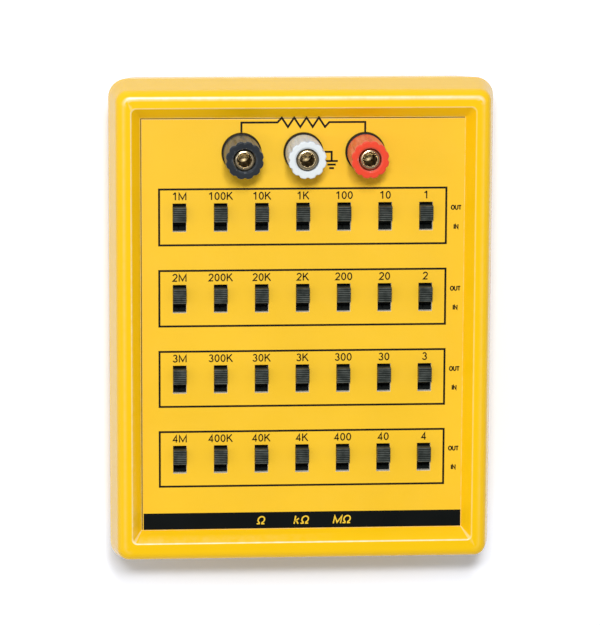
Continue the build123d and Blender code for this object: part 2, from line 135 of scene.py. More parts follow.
class PanelSettings(bpy.types.PropertyGroup):
    """Sizes and colours of the printed overlay."""
    column_pitch: length("Column pitch", "Between switch columns", 12.7)
    row_pitch: length("Row pitch", "Between switch rows", 25.4)
    slot_width: length("Slot width", "Opening for a lever, across", 4.15)
    slot_length: length("Slot length", "Opening for a lever, along", 8.8)
    slot_round: length("Slot rounding", "Rounding of the overlay's cut edges", 0.14)
    # The film stops short at its left and top, and the dark strip in that gap, with the width and
    # thickness below, is a painted shadow line.
    shift: length("Film shift", "Film short of the sunk floor at its left and top", 0.22)
    squeeze: length("Adhesive edge", "Adhesive beyond the film at its left and top", 0.13)
    shadow_sheet: length("Adhesive", "Thickness of the adhesive", 0.08)
    line_width: length("Line width", "Printed frame lines", 0.62)
    frame_half_width: length("Frame half width", "Printed frames from the middle", 44.35)
    frame_above: length("Frame above", "Top line of a frame above its slots' middle", 8.85)
    frame_below: length("Frame below", "Bottom line of a frame below it", 8.55)
    label_height: length("Numeral height", "Height of the printed values", 2.42)
    label_line: length("Numeral line", "Line width of the printed values", 0.38)
    label_rise: length("Numeral rise", "Middle of the values above the slots' middle", 6.7)
    word_height: length("Word height", "Height of the words beside each row", 1.45)
    word_line: length("Word line", "Line width of those words", 0.36)
    word_stretch: FloatProperty(name="Word stretch", default=0.76,
                                description="Width of those words against plain capitals")
    word_drop: length("Word drop", "Middle of the words below a row's middle", 0.35)
    word_offset: length("Word offset", "Middle of the words from the panel's middle", 47.45)
    word_gap: length("Word gap", "From a row's middle to its words", 3.0)
    sign_height: length("Sign height", "Line of the resistor sign above the posts", 9.2)
    sign_wave: length("Sign wave", "Half height of the resistor sign's zigzag", 1.45)
    sign_half_wave: length("Sign half wave", "Between the peaks of the zigzag", 1.9)
    ground_drop: length("Ground sign offset", "Ground sign beside the white post", 8.75)
    ground_step: length("Ground sign step", "Between the bars of the ground sign", 1.1)
    unit_height: length("Unit height", "Height of the unit signs on the band", 2.6)
    unit_line: length("Unit line", "Line width of the unit signs", 0.42)
    ink_height: length("Ink", "Thickness of the print", 0.012)
    band_height: length("Band height", "Black band along the bottom edge", 5.2)
    band_inset: length("Band inset", "Band from the overlay's left edge", 0.45)
    yellow: colour("Overlay yellow", "Printed film", 252, 201, 36)
    ink: colour("Ink", "Printed lines and numerals", 16, 14, 8)
    # Pale colour of the film's cut edges and of the slots' walls in the sunk floor: partly the
    # film's bare core, mostly a painted highlight where the lamps would catch those edges.
    cut_edge_highlight: colour("Cut edge", "Bare core of the film along its cut edges", 255, 252, 238)
    # Colour of the painted shadow line beside the film's left and top edges.
    shadow_line: colour("Adhesive", "Edge of the adhesive that shows beside the film", 84, 68, 18)
    band: colour("Band", "Printed band", 13, 17, 17)
    band_word: colour("Band words", "Words printed on the band", 247, 205, 60)


class LeverSettings(bpy.types.PropertyGroup):
    """Sizes and colours of the slide levers and the switch bodies."""
    width: length("Lever width", "Stem in the slot, across", 3.85)
    grip_width: length("Grip width", "Finger grip above the panel, across", 4.1)
    grip_length: length("Grip length", "Finger grip, along", 4.6)
    grip_foot: length("Grip foot", "Underside of the finger grip above the panel", 0.3)
    length: length("Stem length", "Stem in the slot, along", 5.0)
    rib_count: IntProperty(name="Ribs", description="Ribs on a finger grip", default=8, min=2)
    rib_depth: length("Rib depth", "Depth between the ribs", 0.42)
    carriage: length("Carriage", "Height of the carriage under the panel", 2.9)
    nylon: colour("Lever black", "Moulded levers", 36, 42, 39)
    # Carriage black is a darker copy of the lever black: painted shade for the carriage down in its
    # slot.
    slide: colour("Carriage black", "Carriage under the panel", 12, 18, 16)
    dark: colour("Switch body", "Moulded switch bodies", 18, 24, 22)


class PostSettings(bpy.types.PropertyGroup):
    """Sizes and colours of the binding posts. Heights count from the overlay's face."""
    stud: length("Stud radius", "Thread radius of the stud", 3.175)
    thread_pitch: length("Thread pitch", "Rise of the thread in a turn", 0.907)
    thread_depth: length("Thread depth", "Depth of the thread", 0.26)
    collar: length("Collar radius", "Collar at the foot of the stud", 4.3)
    collar_bottom: length("Collar bottom", "Height of the collar's seat", 1.8)
    collar_top: length("Collar top", "Height of the collar's face", 2.6)
    stud_top: length("Stud top", "Height of the stud's end", 17.4)
    tail: length("Tail radius", "Stud below the panel", 2.4)
    tail_length: length("Tail length", "Stud below the panel", 13.0)
    socket: length("Socket radius", "Banana socket", 2.0)
    socket_depth: length("Socket depth", "Banana socket", 12.0)
    socket_chamfer: length("Socket chamfer", "Mouth of the socket", 0.35)
    wire_hole: length("Wire hole radius", "Hole across the stud's foot", 0.95)
    wire_hole_height: length("Wire hole height", "Middle of that hole", 3.9)
    washer: length("Washer radius", "Insulating washer", 6.15)
    washer_height: length("Washer height", "Insulating washer", 1.8)
    cap: length("Cap radius", "Fluted cap", 5.8)
    cap_foot: length("Cap foot", "Height of the cap's foot", 1.9)
    cap_top: length("Cap top", "Height of the cap's face", 18.0)
    cap_bore: length("Cap bore", "Radius of the hole in the cap's face", 3.5)
    skirt_bore: length("Skirt bore", "Radius inside the cap's skirt", 4.7)
    insert: length("Insert radius", "Hollow round the threaded insert", 4.18)
    insert_flange: length("Insert flange", "Hollow round the insert's flange", 4.63)
    insert_bottom: length("Insert bottom", "Height of the insert", 5.6)
    insert_height: length("Insert height", "Length of the insert", 8.0)
    flutes: IntProperty(name="Flutes", description="Flutes round a cap", default=12, min=4)
    flute_depth: length("Flute depth", "Depth of a flute", 0.42)
    taper: length("Cap taper", "Skirt thinner than the fluted head", 0.16)
    flute_start: length("Flute start", "Height where the flutes run out", 6.0)
    flute_full: length("Flute full", "Height where the flutes are full", 9.5)
    black: colour("Black cap", "Moulded plastic", 42, 47, 53)
    white: colour("White cap", "Moulded plastic", 226, 232, 234)
    red: colour("Red cap", "Moulded plastic", 236, 74, 50)
    # The side colours are lighter and bluer than the caps: partly dulling by handling, partly a
    # painted sheen that also offsets the yellow light bounced from the case.
    black_side: colour("Black cap side", "Handled sides of the black cap", 94, 106, 120)
    white_side: colour("White cap side", "Handled sides of the white cap", 212, 226, 246)
    red_side: colour("Red cap side", "Handled sides of the red cap", 240, 134, 112)
    insulator: colour("Insulator", "Washers under the caps", 12, 12, 13)
    nickel: colour("Nickel", "Plated studs and inserts", 214, 196, 160)
    socket_metal: colour("Socket metal", "Dull metal inside the sockets", 168, 150, 112)


class StageSettings(bpy.types.PropertyGroup):
    """Camera, lamps and floor."""
    focal_pixels: FloatProperty(name="Focal length", description="In pixels of a 600 by 625 image",
                                default=3705.0)
    camera_x: length("Camera across", "From the middle of the case", -85.0)
    camera_y: length("Camera along", "From the middle of the case", 214.05)
    camera_z: length("Camera height", "Above the table", 1164.75)
    target_x: length("Target across", "Where the view's middle meets the panel", -0.81)
    target_y: length("Target along", "Where the view's middle meets the panel", 3.95)
    roll: FloatProperty(name="Roll", description="Turn of the camera about its view",
                        default=math.radians(0.237), subtype="ANGLE")
    floor: colour("Floor", "Table and background", 196, 196, 196)
    lift: colour("Floor lift", "Extra whiteness of the floor as it is seen", 196, 202, 216)


SETTINGS = (("decade_case", CaseSettings), ("decade_panel", PanelSettings),
            ("decade_levers", LeverSettings), ("decade_posts", PostSettings),
            ("decade_stage", StageSettings))


# Mesh helpers

def filleted(corners, steps=6, closed=False):
    """Points along a line of corners, each a tuple whose first two numbers are its place in the
    plane and whose last is its rounding radius; numbers between them are blended. A point a little
    beyond each end of a rounding keeps the flats flat in smooth shading."""
    count = len(corners)
    points = []
    for index, corner in enumerate(corners):
        radius = corner[-1]
        here = Vector(corner[:-1])
        open_end = not closed and index in (0, count - 1)
        if radius <= 0 or open_end:
            points.append(here)
            continue
        before = Vector(corners[index - 1][:-1]) - here
        after = Vector(corners[(index + 1) % count][:-1]) - here
        flat_before = Vector(before[:2])
        flat_after = Vector(after[:2])
        half_angle = flat_before.angle(flat_after) / 2
        reach = radius / math.tan(half_angle)
        start = here + before * (reach / flat_before.length)
        end = here + after * (reach / flat_after.length)
        bisector = (flat_before.normalized() + flat_after.normalized()).normalized()
        centre = Vector(here[:2]) + bisector * (radius / math.sin(half_angle))
        first = Vector(start[:2]) - centre
        last = Vector(end[:2]) - centre
        sweep = first.angle(last)
        turn = 1 if first.x * last.y - first.y * last.x > 0 else -1
        guard = HOLD * radius
        points.append(start + before * min(guard / flat_before.length, 0.2))
        for step in range(steps + 1):
            share = step / steps
            spoke = Vector(first)
            spoke.rotate(Matrix.Rotation(turn * sweep * share, 2))
            blended = start.lerp(end, share)
            points.append(Vector((*(centre + spoke), *blended[2:])))
        points.append(end + after * min(guard / flat_after.length, 0.2))
    return points


def rounded_ring(half_x, half_y, radius, height, steps=8):
    """Points of a rounded rectangle, anticlockwise, the same number for any size."""
    points = []
    for quarter, (side_x, side_y) in enumerate(((1, 1), (-1, 1), (-1, -1), (1, -1))):
        centre = Vector((side_x * (half_x - radius), side_y * (half_y - radius), height))
        for step in range(steps + 1):
            angle = math.radians(90) * (quarter + step / steps)
            points.append(centre + radius * Vector((math.cos(angle), math.sin(angle), 0)))
    return points


def loft(mesh, rings, closed=False):
    """Joins rings of points, each to the next, by quads; returns the rings of vertices."""
    loops = [[mesh.verts.new(point) for point in ring] for ring in rings]
    pairs = list(zip(loops, loops[1:]))
    if closed:
        pairs.append((loops[-1], loops[0]))
    for lower, upper in pairs:
        for index, vertex in enumerate(lower):
            following = (index + 1) % len(lower)
            mesh.faces.new((vertex, lower[following], upper[following], upper[index]))
    return loops


def capped_loft(mesh, rings):
    """A loft with its two ends closed."""
    loops = loft(mesh, rings)
    mesh.faces.new(loops[0])
    mesh.faces.new(loops[-1])


def lathe(mesh, profile, segments=64, place=(0.0, 0.0), radius_at=None):
    """A turned surface. The profile is a closed loop of points whose first two numbers are radius
    and height, or an open line that starts and ends on the axis. radius_at can change the radius
    by angle and point."""
    closed = profile[0][0] > 1e-9
    rings = []
    for point in profile:
        if point[0] <= 1e-9:
            rings.append([mesh.verts.new((place[0], place[1], point[1]))])
            continue
        ring = []
        for segment in range(segments):
            angle = 2 * math.pi * segment / segments
            radius = radius_at(angle, point) if radius_at else point[0]
            ring.append(mesh.verts.new((place[0] + radius * math.cos(angle),
                                        place[1] + radius * math.sin(angle), point[1])))
        rings.append(ring)
    pairs = list(zip(rings, rings[1:]))
    if closed:
        pairs.append((rings[-1], rings[0]))
    for first, second in pairs:
        for segment in range(segments):
            following = (segment + 1) % segments
            corners = [first[segment % len(first)], first[following % len(first)],
                       second[following % len(second)], second[segment % len(second)]]
            mesh.faces.new(dict.fromkeys(corners))


def rectangle(low_x, low_y, high_x, high_y):
    """Corners of a rectangle, anticlockwise."""
    return [(low_x, low_y), (high_x, low_y), (high_x, high_y), (low_x, high_y)]


def centred(width, height, x=0.0, y=0.0):
    """Corners of a rectangle about a centre, anticlockwise."""
    return rectangle(x - width / 2, y - height / 2, x + width / 2, y + height / 2)


def circle(radius, x=0.0, y=0.0, segments=48):
    """Points of a circle, anticlockwise."""
    return [(x + radius * math.cos(2 * math.pi * step / segments),
             y + radius * math.sin(2 * math.pi * step / segments)) for step in range(segments)]


def slab(name, outer, holes, low, high, rounding=0.0):
    """A flat plate mesh between two heights with holes, its cut edges rounded."""
    curve = bpy.data.curves.new(name, "CURVE")
    curve.dimensions = "2D"
    curve.fill_mode = "BOTH"
    for outline in outer + [hole[::-1] for hole in holes]:
        spline = curve.splines.new("POLY")
        spline.points.add(len(outline) - 1)
        for point, (x, y) in zip(spline.points, outline):
            point.co = (x, y, 0, 1)
        spline.use_cyclic_u = True
    curve.extrude = (high - low) / 2 - rounding
    curve.bevel_depth = rounding
    curve.bevel_resolution = 1
    curve.offset = -rounding
    mesh = mesh_of(curve, name)
    mesh.transform(Matrix.Translation((0, 0, (low + high) / 2)))
    return mesh


def new_object(name, data):
    """An object in the scene."""
    made = bpy.data.objects.new(name, data)
    bpy.context.scene.collection.objects.link(made)
    return made


def evaluated_mesh(holder):
    """An object's mesh with its modifiers applied."""
    graph = bpy.context.evaluated_depsgraph_get()
    return bpy.data.meshes.new_from_object(holder.evaluated_get(graph))


def cover(data, *materials):
    """Gives a mesh these materials and no others."""
    data.materials.clear()
    for material in materials:
        data.materials.append(material)


def mesh_of(data, name):
    """The finished mesh of a curve."""
    holder = new_object(name, data)
    mesh = evaluated_mesh(holder)
    bpy.data.objects.remove(holder)
    made = bmesh.new()
    made.from_mesh(mesh)
    bmesh.ops.remove_doubles(made, verts=made.verts, dist=1e-7)
    bmesh.ops.recalc_face_normals(made, faces=made.faces)
    made.to_mesh(mesh)
    made.free()
    mesh.name = name
    return mesh


def ribbon(made, points, width, low, high):
    """Adds a flat line of even width through points, with mitred joints. A line that ends where it
    starts becomes a ring."""
    ring = (Vector(points[0]) - Vector(points[-1])).length < 1e-9
    points = [Vector(point) for point in (points[:-1] if ring else points)]
    count = len(points)
    sections = []
    for index, here in enumerate(points):
        before = here - points[index - 1] if ring or index else None
        after = points[(index + 1) % count] - here if ring or index < count - 1 else None
        before, after = (before or after).normalized(), (after or before).normalized()
        across = Vector((-(before + after).y, (before + after).x)).normalized()
        reach = width / 2 / max(0.35, across.dot(Vector((-before.y, before.x))))
        sections.append([made.verts.new((*(here + across * reach * side), height))
                         for side, height in ((-1, low), (1, low), (1, high), (-1, high))])
    pairs = list(zip(sections, sections[1:]))
    if ring:
        pairs.append((sections[-1], sections[0]))
    else:
        made.faces.new(sections[0])
        made.faces.new(sections[-1])
    for first, second in pairs:
        for corner in range(4):
            following = (corner + 1) % 4
            made.faces.new((first[corner], first[following], second[following], second[corner]))


def bow(centre_x, centre_y, radius_x, radius_y, start, end, steps=14):
    """Points along part of an ellipse, from one angle to another in degrees."""
    angles = [math.radians(start + (end - start) * step / steps) for step in range(steps + 1)]
    return [(centre_x + radius_x * math.cos(angle), centre_y + radius_y * math.sin(angle))
            for angle in angles]


def letter_forms():
    """Advance and strokes of each letter, for capitals that are one high."""
    digit = 0.77
    zero = bow(0.385, 0.5, 0.25, 0.435, 90, 450, 28)
    round_o = bow(0.54, 0.5, 0.41, 0.43, 90, 450, 28)
    return {
        "0": (digit, [zero[:-1] + zero[:1]]),
        "1": (digit, [[(0.14, 0.76), (0.28, 0.79), (0.37, 0.87), (0.41, 1.0)],
                      [(0.45, 0), (0.45, 1)]]),
        "2": (digit, [bow(0.385, 0.69, 0.25, 0.25, 170, -30) + [(0.14, 0.065), (0.66, 0.065)]]),
        "3": (digit, [bow(0.38, 0.725, 0.21, 0.21, 160, -90),
                      bow(0.38, 0.28, 0.25, 0.225, 90, -165)]),
        "4": (digit, [[(0.51, 0), (0.51, 0.9), (0.12, 0.27), (0.68, 0.27)]]),
        "M": (1.16, [[(0.15, 0), (0.15, 0.9), (0.58, 0.12), (1.01, 0.9), (1.01, 0)]]),
        "K": (0.93, [[(0.15, 0), (0.15, 1)], [(0.74, 1), (0.15, 0.38)], [(0.36, 0.6), (0.82, 0)]]),
        "k": (0.8, [[(0.12, 0), (0.12, 1)], [(0.56, 0.68), (0.12, 0.27)],
                    [(0.29, 0.43), (0.6, 0)]]),
        "O": (1.08, [round_o[:-1] + round_o[:1]]),
        "U": (1.02, [[(0.15, 1)] + bow(0.51, 0.42, 0.36, 0.36, 180, 360) + [(0.87, 1)]]),
        "T": (0.86, [[(0.04, 0.9), (0.82, 0.9)], [(0.43, 0), (0.43, 0.9)]]),
        "I": (0.4, [[(0.2, 0), (0.2, 1)]]),
        "N": (1.02, [[(0.15, 0), (0.15, 0.94), (0.87, 0.06), (0.87, 1)]]),
        "\u03a9": (1.08, [[(0.08, 0.07), (0.38, 0.07)] + bow(0.54, 0.56, 0.38, 0.38, 244, -64, 24)
                          + [(0.7, 0.07), (1.0, 0.07)]]),
    }


def lettering(made, words, middle, cap_height, line, low, high, slant=0.0, stretch=1.0):
    """Adds letters drawn in strokes of even width, centred on a place."""
    forms = letter_forms()
    cursor = -sum(forms[letter][0] for letter in words) / 2
    for letter in words:
        advance, strokes = forms[letter]
        for points in strokes:
            placed = [(middle[0] + ((cursor + x) * stretch + slant * (y - 0.5)) * cap_height,
                       middle[1] + (y - 0.5) * cap_height) for x, y in points]
            ribbon(made, placed, line, low, high)
        cursor += advance


def solid_mesh(name, made, smooth_angle=None):
    """Turns working geometry into a mesh, with its faces turned outwards."""
    bmesh.ops.recalc_face_normals(made, faces=made.faces)
    mesh = bpy.data.meshes.new(name)
    made.to_mesh(mesh)
    made.free()
    if smooth_angle is not None:
        soften(mesh, smooth_angle)
    return mesh


def soften(mesh, degrees):
    """Smooth shading, with edges sharper than an angle kept crisp."""
    mesh.polygons.foreach_set("use_smooth", [True] * len(mesh.polygons))
    mesh.set_sharp_from_angle(angle=math.radians(degrees))


def subtract(piece, made):
    """Cuts a closed working mesh out of a piece, for good."""
    cutter_mesh = solid_mesh("cutter", made)
    cutter = new_object("cutter", cutter_mesh)
    modifier = piece.modifiers.new("cut", "BOOLEAN")
    modifier.operation = "DIFFERENCE"
    modifier.solver = "EXACT"
    modifier.object = cutter
    mesh = evaluated_mesh(piece)
    piece.modifiers.clear()
    piece.data = mesh
    bpy.data.objects.remove(cutter)
    bpy.data.meshes.remove(cutter_mesh)


def place_piece(name, mesh, material, body, stands_for=()):
    """Makes a piece of the object that moves with a body."""
    piece = new_object(name, mesh)
    cover(piece.data, material)
    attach(piece, body)
    if stands_for:
        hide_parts(*stands_for)
    return piece


def shaped_piece(name, made, angle, material, body, stands_for=()):
    """Makes a piece from working geometry, with edges sharper than an angle kept crisp."""
    return place_piece(name, solid_mesh(name, made, angle), material, body, stands_for)


def round_edges(piece, width):
    """Rounds the sharp edges of a piece with a bevel."""
    modifier = piece.modifiers.new("rounding", "BEVEL")
    modifier.width = width
    modifier.segments = 2
    modifier.limit_method = "ANGLE"
    modifier.angle_limit = math.radians(55)


def finish_node(name, material):
    """Gives a carried-over node a material of its own and smooth shading."""
    node = frame["nodes"][name]
    cover(node.data, material)
    soften(node.data, 30)


def slot_centres(panel):
    """Centres of the slots, row by row from the posts' end, each with its lever's name."""
    first_low, first_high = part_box("lever_1m")
    last_low, last_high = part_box("lever_4")
    middle_x = (first_low.x + last_high.x) / 2
    travel = frame["joints"][0]["range_m"][1]
    middle_y = (first_high.y + last_low.y) / 2 - travel / 2
    places = []
    for row in range(ROWS):
        for column, decade in enumerate(DECADES):
            x = middle_x + panel.column_pitch * (column - (len(DECADES) - 1) / 2)
            y = middle_y + panel.row_pitch * ((ROWS - 1) / 2 - row)
            places.append((row, column, x, y, f"lever_{row + 1}{decade}"))
    return places


def post_places():
    """Axis of each binding post, from its stud."""
    places = {}
    for name in COLOURS:
        low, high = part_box(f"{name}_post_stud")
        places[name] = ((low.x + high.x) / 2, (low.y + high.y) / 2)
    return places


# Shader groups: colours, masks, values and heights only

def group(name, inputs, outputs):
    """A new shader group. Inputs with a tuple are colours, and so is the output named Colour.
    Returns the group, its input's sockets and its output's."""
    tree = bpy.data.node_groups.new(name, "ShaderNodeTree")
    for socket, default in inputs.items():
        kind = "NodeSocketColor" if isinstance(default, tuple) else "NodeSocketFloat"
        made = tree.interface.new_socket(name=socket, in_out="INPUT", socket_type=kind)
        made.default_value = default
    for socket in outputs:
        kind = "NodeSocketColor" if socket == "Colour" else "NodeSocketFloat"
        tree.interface.new_socket(name=socket, in_out="OUTPUT", socket_type=kind)
    return tree, tree.nodes.new("NodeGroupInput").outputs, tree.nodes.new("NodeGroupOutput").inputs


def connect(tree, source, socket):
    """Links a socket to another, or sets its value."""
    if isinstance(source, bpy.types.NodeSocket):
        tree.links.new(source, socket)
    else:
        socket.default_value = source


def add(tree, kind, links=(), **values):
    """A node with its settings and inputs: links are pairs of an input and a socket or value."""
    node = tree.nodes.new(kind)
    for name, value in values.items():
        setattr(node, name, value)
    for socket, source in links:
        connect(tree, source, node.inputs[socket])
    return node


def deliver(tree, sink, **results):
    """Links the results of a group to its outputs."""
    for name, source in results.items():
        tree.links.new(source, sink[name])


def calculate(tree, operation, *values, clamp=False):
    """The result of a calculation."""
    return add(tree, "ShaderNodeMath", enumerate(values), operation=operation,
               use_clamp=clamp).outputs[0]


def remap(tree, source, low, high, new_low=0.0, new_high=1.0):
    """A value moved from one range to another, kept inside it."""
    names = ("Value", "From Min", "From Max", "To Min", "To Max")
    return add(tree, "ShaderNodeMapRange",
               zip(names, (source, low, high, new_low, new_high))).outputs["Result"]


def blend(tree, share, first, second):
    """Two colours blended by a share."""
    return add(tree, "ShaderNodeMix", [(0, share), (6, first), (7, second)],
               data_type="RGBA").outputs[2]


def noise(tree, place, scale, detail, roughness=0.5):
    """Cloudy noise."""
    return add(tree, "ShaderNodeTexNoise", [("Vector", place), ("Scale", scale), ("Detail", detail),
                                            ("Roughness", roughness)]).outputs["Fac"]


def own_place(tree):
    """The place in the object's own coordinates."""
    return add(tree, "ShaderNodeTexCoord").outputs["Object"]


def upward(tree):
    """How far a face looks up."""
    normal = add(tree, "ShaderNodeNewGeometry").outputs["Normal"]
    return add(tree, "ShaderNodeSeparateXYZ", [(0, normal)]).outputs["Z"]


def masked(tree, source, first, second):
    """The product of two masks and the group's amount."""
    mask = calculate(tree, "MULTIPLY", first, second)
    return calculate(tree, "MULTIPLY", mask, source["Amount"], clamp=True)


def build_mould_grain():
    """Moulded plastic: slow drift of shade and roughness, and fine grain."""
    tree, source, sink = group(
        "Mould grain",
        {"Colour": (0.8, 0.6, 0.1, 1), "Grain scale": 2500.0, "Shade drift": 0.06,
         "Roughness": 0.35, "Roughness drift": 0.08},
        ("Colour", "Roughness", "Height"))
    place = own_place(tree)
    cloud = noise(tree, place, scale=35.0, detail=4.0, roughness=0.55)
    drift = calculate(tree, "SUBTRACT", cloud, 0.5)
    scaled = calculate(tree, "MULTIPLY", drift, source["Shade drift"])
    value = calculate(tree, "ADD", scaled, 1.0)
    shade = add(tree, "ShaderNodeHueSaturation", [("Color", source["Colour"]), ("Value", value)])
    rough = calculate(tree, "MULTIPLY", drift, source["Roughness drift"])
    deliver(tree, sink, Colour=shade.outputs["Color"],
            Roughness=calculate(tree, "ADD", rough, source["Roughness"], clamp=True),
            Height=noise(tree, place, source["Grain scale"], detail=3.0, roughness=0.6))


def build_edge_wear_and_highlight():
    """Paler edges: a mask from the curvature and from marked places, broken up by noise. The
    curvature part is wear on some materials and mostly a painted highlight on the case and the
    levers; the marked places are painted highlights only.
    """
    tree, source, sink = group(
        "Edge wear and highlight",
        {"Colour": (0.8, 0.6, 0.1, 1), "Worn colour": (0.9, 0.8, 0.4, 1), "Amount": 0.4,
         "Start": 0.52, "End": 0.62, "Rubbed": 0.0},
        ("Colour", "Mask"))
    curvature = add(tree, "ShaderNodeNewGeometry").outputs["Pointiness"]
    edge = remap(tree, curvature, source["Start"], source["End"])
    cloud = noise(tree, own_place(tree), scale=420.0, detail=5.0)
    wear_and_highlight = masked(tree, source, edge, remap(tree, cloud, 0.35, 0.65, 0.25, 1.0))
    patches = remap(tree, cloud, 0.35, 0.6, 0.7, 1.0)
    painted_highlight = calculate(tree, "MULTIPLY", source["Rubbed"], patches)
    mask = calculate(tree, "MAXIMUM", wear_and_highlight, painted_highlight, clamp=True)
    deliver(tree, sink, Mask=mask,
            Colour=blend(tree, mask, source["Colour"], source["Worn colour"]))


def build_dust():
    """Thin dust on faces that look up, gathered in soft specks."""
    tree, source, sink = group(
        "Dust",
        {"Colour": (0.8, 0.6, 0.1, 1), "Dust colour": (0.7, 0.66, 0.58, 1), "Amount": 0.1,
         "Roughness": 0.35},
        ("Colour", "Roughness"))
    facing = remap(tree, upward(tree), 0.3, 1.0)
    cloud = noise(tree, own_place(tree), scale=90.0, detail=6.0, roughness=0.7)
    mask = masked(tree, source, facing, remap(tree, cloud, 0.45, 0.75))
    deliver(tree, sink, Colour=blend(tree, mask, source["Colour"], source["Dust colour"]),
            Roughness=calculate(tree, "MULTIPLY_ADD", mask, 0.4, source["Roughness"], clamp=True))


def build_handling_fade_and_sheen():
    """Upright faces in soft streaks along their height take a side colour: partly dulling by
    handling, partly a painted sheen.
    """
    tree, source, sink = group(
        "Handling fade and sheen",
        {"Colour": (0.1, 0.1, 0.1, 1), "Faded colour": (0.3, 0.3, 0.3, 1), "Amount": 1.0},
        ("Colour", "Mask"))
    upright = remap(tree, upward(tree), 0.35, 0.8, 1.0, 0.0)
    stretched = add(tree, "ShaderNodeVectorMath", [(0, own_place(tree)), (1, (1.0, 1.0, 0.12))],
                    operation="MULTIPLY").outputs[0]
    cloud = noise(tree, stretched, scale=900.0, detail=4.0)
    mask = masked(tree, source, upright, remap(tree, cloud, 0.3, 0.65, 0.25, 1.0))
    deliver(tree, sink, Mask=mask,
            Colour=blend(tree, mask, source["Colour"], source["Faded colour"]))


def build_machined():
    """Turned or rolled metal: fine tool lines and patches of tarnish."""
    tree, source, sink = group(
        "Machined metal",
        {"Colour": (0.8, 0.78, 0.7, 1), "Tarnish": (0.35, 0.3, 0.22, 1), "Amount": 0.3,
         "Line scale": 3000.0, "Roughness": 0.22},
        ("Colour", "Roughness", "Height"))
    place = own_place(tree)
    lines = add(tree, "ShaderNodeTexWave",
                [("Vector", place), ("Scale", source["Line scale"]), ("Distortion", 1.5),
                 ("Detail", 2.0)], bands_direction="Z").outputs["Fac"]
    stain = remap(tree, noise(tree, place, scale=260.0, detail=5.0), 0.4, 0.7)
    mask = calculate(tree, "MULTIPLY", stain, source["Amount"])
    rough = calculate(tree, "MULTIPLY_ADD", stain, 0.18, source["Roughness"], clamp=True)
    deliver(tree, sink, Colour=blend(tree, mask, source["Colour"], source["Tarnish"]),
            Roughness=rough, Height=lines)


GROUPS = (build_mould_grain, build_edge_wear_and_highlight, build_handling_fade_and_sheen, build_dust, build_machined)


# Materials

def rgba(values):
    """A colour with full alpha."""
    return (*values, 1.0)


def use_group(tree, name, **values):
    """Places a shared group, with its own values; underscores stand for spaces. Returns its
    outputs."""
    node = add(tree, "ShaderNodeGroup", node_tree=bpy.data.node_groups[name])
    for socket, source in values.items():
        connect(tree, source, node.inputs[socket.replace("_", " ")])
    return node.outputs


def new_material(name):
    """A material with its surface shader; returns the material, its tree and the shader."""
    material = bpy.data.materials.new(name)
    material.use_nodes = True
    return material, material.node_tree, material.node_tree.nodes["Principled BSDF"]


def dress(tree, shader, shade, roughness, height, strength, depth=0.02 * MM):
    """Feeds a colour, a roughness and a height to the shader."""
    node = add(tree, "ShaderNodeBump", [("Height", height), ("Strength", strength),
                                        ("Distance", depth)])
    tree.links.new(shade, shader.inputs["Base Color"])
    tree.links.new(roughness, shader.inputs["Roughness"])
    tree.links.new(node.outputs["Normal"], shader.inputs["Normal"])


def moulded(name, base, roughness, grain_scale=2500.0, grain=0.15, drift=0.06, wear_and_highlight=None,
            wear=0.3, dust=0.06, side_colour=None, specular=0.5, wear_start=0.53, wear_end=0.62,
            marks=None):
    """A moulded plastic or rubber with grain, paler edges, paler sides and a little dust. The paler
    edges are wear on some materials and mostly painted highlights on others, and the paler sides
    are partly handling and partly a painted sheen. Marks name a mesh attribute that says where
    edges get a painted highlight."""
    material, tree, shader = new_material(name)
    skin = use_group(tree, "Mould grain", Colour=rgba(base), Grain_scale=grain_scale,
                     Shade_drift=drift, Roughness=roughness, Roughness_drift=0.12)
    shade = skin["Colour"]
    if side_colour:
        shade = use_group(tree, "Handling fade and sheen", Colour=shade, Faded_colour=rgba(side_colour))["Colour"]
    if wear_and_highlight:
        painted_highlight = 0.0
        if marks:
            painted_highlight = add(tree, "ShaderNodeAttribute", attribute_name=marks).outputs["Fac"]
        shade = use_group(tree, "Edge wear and highlight", Colour=shade, Worn_colour=rgba(wear_and_highlight), Amount=wear,
                          Start=wear_start, End=wear_end, Rubbed=painted_highlight)["Colour"]
    film = use_group(tree, "Dust", Colour=shade, Amount=dust, Roughness=skin["Roughness"])
    shader.inputs["Specular IOR Level"].default_value = specular
    dress(tree, shader, film["Colour"], film["Roughness"], skin["Height"], grain)
    return material


def metal(name, base, tarnish, roughness, amount):
    """A plated or rolled metal."""
    material, tree, shader = new_material(name)
    skin = use_group(tree, "Machined metal", Colour=rgba(base), Tarnish=rgba(tarnish),
                     Amount=amount, Roughness=roughness)
    shader.inputs["Metallic"].default_value = 1.0
    dress(tree, shader, skin["Colour"], skin["Roughness"], skin["Height"], 0.15)
    return material


def ink_material(name, base, roughness=0.45):
    """Screen-printed ink: nearly even, with a slightly broken density."""
    material, tree, shader = new_material(name)
    skin = use_group(tree, "Mould grain", Colour=rgba(base), Grain_scale=5200.0, Shade_drift=0.35,
                     Roughness=roughness, Roughness_drift=0.2)
    shader.inputs["Specular IOR Level"].default_value = 0.15
    dress(tree, shader, skin["Colour"], skin["Roughness"], skin["Height"], 0.2, 0.01 * MM)
    return material


